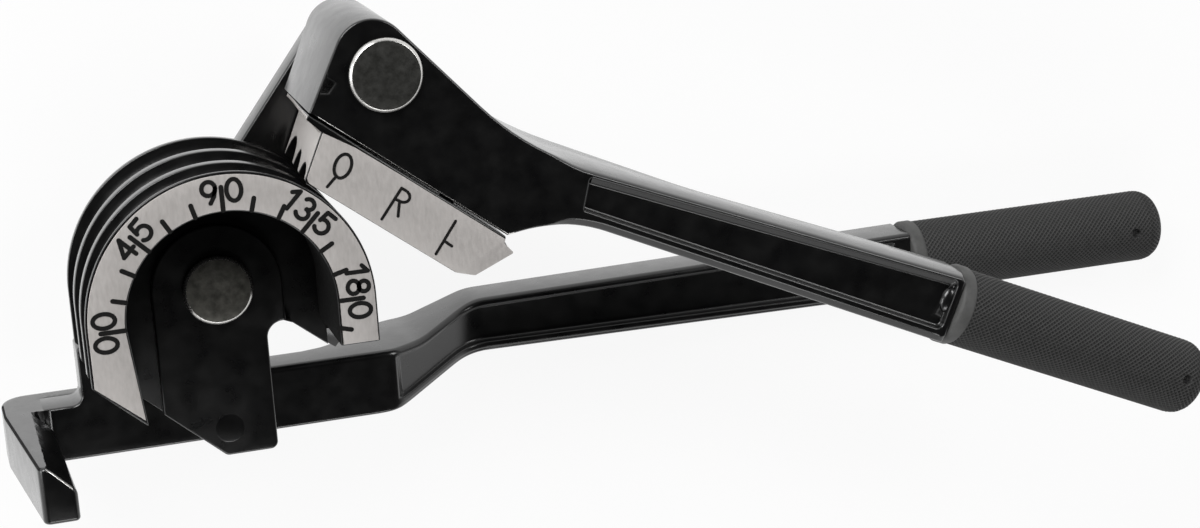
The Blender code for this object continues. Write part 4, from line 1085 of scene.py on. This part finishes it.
def buildShoeMarks():
    print("shoe marks")
    low, high = -0.05, 0.03
    x, y = np.array([1.0, 0]), np.array([0, 1.0])
    shells = []
    ring = arcPoints(0, 0, 1.42, 90, 450, 34, 2.02)
    slant = np.array([[0.97, 0.0], [-0.12, 1.0]])
    shells += strokeShell(ring @ slant + (1.95, -16.35), 0.55, low, high)
    shells += strokeShell(bend([(1.9, -18.55), (1.6, -20.6)]), 0.5, low, high + 0.004)
    shells += strokeShell(bend([(12.4, -14.4), (12.4, -20.5)]), 0.5, low, high)
    bowl = np.concatenate([[(12.4, -14.4)], arcPoints(13.35, -15.4, 1.2, 85, -85, 14, 1.0), [(12.4, -16.5)]])
    shells += strokeShell(bowl, 0.5, low, high + 0.004)
    shells += strokeShell(bend([(13.3, -16.4), (14.5, -18.7)]), 0.5, low, high + 0.008)
    shells += strokeShell(bend([(23.4, -14.4), (23.6, -20.8)]), 0.5, low, high)
    shells += strokeShell(bend([(23.55, -18.2), (25.2, -18.3)]), 0.5, low, high + 0.004)
    return makePiece("shoe_marks", shells, inHandle, [ink], "forming_handle")


buildUpperHandle()
buildShoe()
buildShoeMarks()

# Grips
grip = {"radius": 7.1, "length": 55.3, "end": 3.6, "collar": 7.35, "pitch": 0.95, "depth": 0.26, "around": 46,
        "fine": 6}


# Distance along by angle round: a plain collar, then the radius with two crossing families of thin ridges
# round small diamond hollows, a dimple, and a rounded end drawn in to the axis. The relief of each point
# is one on the collar and the ridges and nought in the hollows and the dimple; the rubber's colour uses it
# for painted shade in the hollows and a painted highlight on the ridges.
def gripShell(g, dimple):
    columns = g["around"] * g["fine"]
    start = 3.0
    s = np.concatenate([np.linspace(0, 0.5, 4), [1.2, 2.2, 2.45, 2.7],
                        np.arange(start, g["length"] - g["end"], g["pitch"] / g["fine"]),
                        g["length"] - g["end"] * (1 - np.sin(np.radians(np.linspace(0, 89, 26))))])
    angle = np.radians(np.arange(columns) * 360 / columns)
    top = np.interp(s, [0, 0.5, 2.2, 2.7], [g["radius"] - 0.1, g["collar"], g["collar"], g["radius"]])
    past = np.clip(s - (g["length"] - g["end"]), 0, None)
    top = top - (g["end"] - np.sqrt(np.maximum(g["end"] ** 2 - past ** 2, 0)))
    u = angle[None, :] * g["around"] / (2 * math.pi)
    v = (s[:, None] - start) / g["pitch"]
    ridges = [1 - np.minimum(np.abs((u + sign * v + 0.5) % 1 - 0.5) * 2 * 1.7, 1) for sign in (1, -1)]
    height = np.maximum(*ridges)
    fade = soft((s - 2.5) / 0.5) * soft((g["length"] - 0.5 - s) / 0.8)
    height = 1 - (1 - height) * fade[:, None]
    along, round = dimple
    away = np.hypot(s[:, None] - along, g["radius"] * (angle[None, :] - round))
    pit = soft((1.0 - away) / 0.35)
    radius = top[:, None] - g["depth"] * (1 - height) - 0.7 * pit
    relief = height * (1 - pit)
    x = np.repeat(s[:, None], columns, axis=1)
    points = np.stack([x, radius * np.cos(angle), radius * np.sin(angle)], axis=-1)
    first, last = points[:1].copy(), points[-1:].copy()
    first[..., 1:] = 0
    last[..., 1:] = 0
    points = np.concatenate([first, points, last])
    relief = np.concatenate([relief[:1] * 0.3, relief, relief[-1:]])
    return [(points, gridFaces(len(points), columns))], relief


def buildGrips():
    print("grips")

    def lowerPlace(points):
        return inWheel(points + np.array([139.0, -20.5, -48.0]))

    def upperPlace(points):
        c, s = math.cos(gripTilt), math.sin(gripTilt)
        turned = np.column_stack([points[:, 0] * c - points[:, 1] * s, points[:, 0] * s + points[:, 1] * c,
                                  points[:, 2]])
        return inHandle(turned + np.array([head["gripX"], head["gripY"], -7.2]))

    for name, place, body, node, dimple in (
            ("lower_sleeve", lowerPlace, "lower_tool", "lower_grip", (48.4, math.radians(87))),
            ("upper_sleeve", upperPlace, "forming_handle", "upper_grip", (50.2, math.radians(84)))):
        shells, relief = gripShell(grip, dimple)
        makePiece(name, shells, place, [rubber], body, [node], sharp=60, relief=relief)


buildGrips()

# Pins, rivet and link
pins = {
    "centreHead": 6.0, "centreTop": -16.75, "centreHeight": 1.2, "upperHead": 6.2, "upperTop": 0.05,
    "upperHeight": 1.0,
    "shaft": 4.0, "neck": 3.2, "neckFront": -38.77, "neckBack": -40.17, "end": -41.27, "chamfer": 0.5,
}


# A head with a rounded chamfer and a slightly domed face on a shaft with a neck for its clip.
def pinShell(radius, top, height):
    p = pins
    c = p["chamfer"]
    profile = [(0, top), (radius * 0.5, top), (radius - c - 0.02, top), (radius - c + 0.06, top - 0.03),
               (radius - c * 0.5, top - c * 0.42),
               (radius - c * 0.12, top - c * 0.8), (radius, top - c * 1.15), (radius, top - height + 0.08),
               (radius - 0.08, top - height),
               (p["shaft"], top - height), (p["shaft"], p["neckFront"]), (p["neck"], p["neckFront"]),
               (p["neck"], p["neckBack"]),
               (p["shaft"], p["neckBack"]), (p["shaft"], p["end"] + 0.35), (p["shaft"] - 0.35, p["end"]),
               (0, p["end"])]
    points, faces = latheShell(profile, (0, 0), 96)
    row = np.repeat(np.arange(len(profile) - 1), 96)
    return [(points, faces, (row >= 2) & (row < 6))]


def buildPins():
    print("pins, rivet and link")
    makePiece("centre_bolt", pinShell(pins["centreHead"], pins["centreTop"], pins["centreHeight"]), inWheel,
              [centreFace, brightEdge], "lower_tool", ["centre_pin"])
    makePiece("upper_bolt", pinShell(pins["upperHead"], pins["upperTop"], pins["upperHeight"]), inHandle,
              [steel, brightEdge], "forming_handle", ["upper_pin"])
    rivet = [(0, -18.17), (2.35, -18.17), (2.48, -18.2), (2.55, -18.28), (2.55, -39.6), (2.4, -39.77), (0, -39.77)]
    makePiece("lug_rivet", [latheShell(rivet, (-0.3, -25.0), 48)], inWheel, [paint], "lower_tool",
              ["wheel_rivet"])
    length = float(np.linalg.norm(upperPin - wheelAxis)) / mm
    outline = np.concatenate([arcPoints(0, length, 7.1, 0, 180, 41), arcPoints(0, 0, 7.1, 180, 360, 41)])

    def linkPlace(points):
        flat = points[:, :1] * handleAlong + points[:, 1:2] * handleUp
        flat[:, 2] += points[:, 2]
        return wheelAxis + flat * mm

    makePiece("link_bar", slabShell(outline, -37.67, -31.87, 0.5), linkPlace, [paint], "link",
              ["link_plate"])
    for name in ("centre_washer", "upper_washer", "thrust_washer", "wheel_dowel", "shoe_dowel_1", "shoe_dowel_2"):
        nodes[name].data.materials.clear()
        nodes[name].data.materials.append(steel)
    for name in ("centre_clip", "upper_clip"):
        nodes[name].data.materials.clear()
        nodes[name].data.materials.append(spring)


buildPins()

# Floor
print("floor")
floorMesh = bpy.data.meshes.new("floor")
reach = 6.0
floorMesh.from_pydata([(-reach, -reach, 0), (reach, -reach, 0), (reach, reach, 0), (-reach, reach, 0)], [],
                      [(0, 1, 2, 3)])
floor = bpy.data.objects.new("floor", floorMesh)
floor.location.z = -0.0002
scene.collection.objects.link(floor)
floorMaterial = bpy.data.materials.new("white floor")
floorMaterial.use_nodes = True
tree = floorMaterial.node_tree
tree.nodes.clear()
output = tree.nodes.new("ShaderNodeOutputMaterial")
diffuse = tree.nodes.new("ShaderNodeBsdfDiffuse")
diffuse.inputs["Color"].default_value = (light["floor"], light["floor"], light["floor"], 1)
glow = tree.nodes.new("ShaderNodeEmission")
glow.inputs["Color"].default_value = (1, 1, 1, 1)
glow.inputs["Strength"].default_value = 1.0
path = tree.nodes.new("ShaderNodeLightPath")
shown = tree.nodes.new("ShaderNodeMath")  # the camera sees most of the white, and the rest keeps the shadow
shown.operation = "MULTIPLY"
shown.inputs[1].default_value = light["shown"]
mirrored = tree.nodes.new("ShaderNodeMath")
mirrored.operation = "MAXIMUM"
part = tree.nodes.new("ShaderNodeMath")
part.operation = "MULTIPLY"
part.inputs[1].default_value = light["mirrored"]
either = tree.nodes.new("ShaderNodeMath")
either.operation = "MAXIMUM"
mix = tree.nodes.new("ShaderNodeMixShader")
tree.links.new(path.outputs["Is Camera Ray"], shown.inputs[0])
tree.links.new(path.outputs["Is Glossy Ray"], mirrored.inputs[0])
tree.links.new(path.outputs["Is Transmission Ray"], mirrored.inputs[1])
tree.links.new(shown.outputs[0], either.inputs[0])
tree.links.new(mirrored.outputs[0], part.inputs[0])
tree.links.new(part.outputs[0], either.inputs[1])
tree.links.new(either.outputs[0], mix.inputs[0])
tree.links.new(diffuse.outputs[0], mix.inputs[1])
tree.links.new(glow.outputs[0], mix.inputs[2])
tree.links.new(mix.outputs[0], output.inputs["Surface"])
floorMesh.materials.append(floorMaterial)
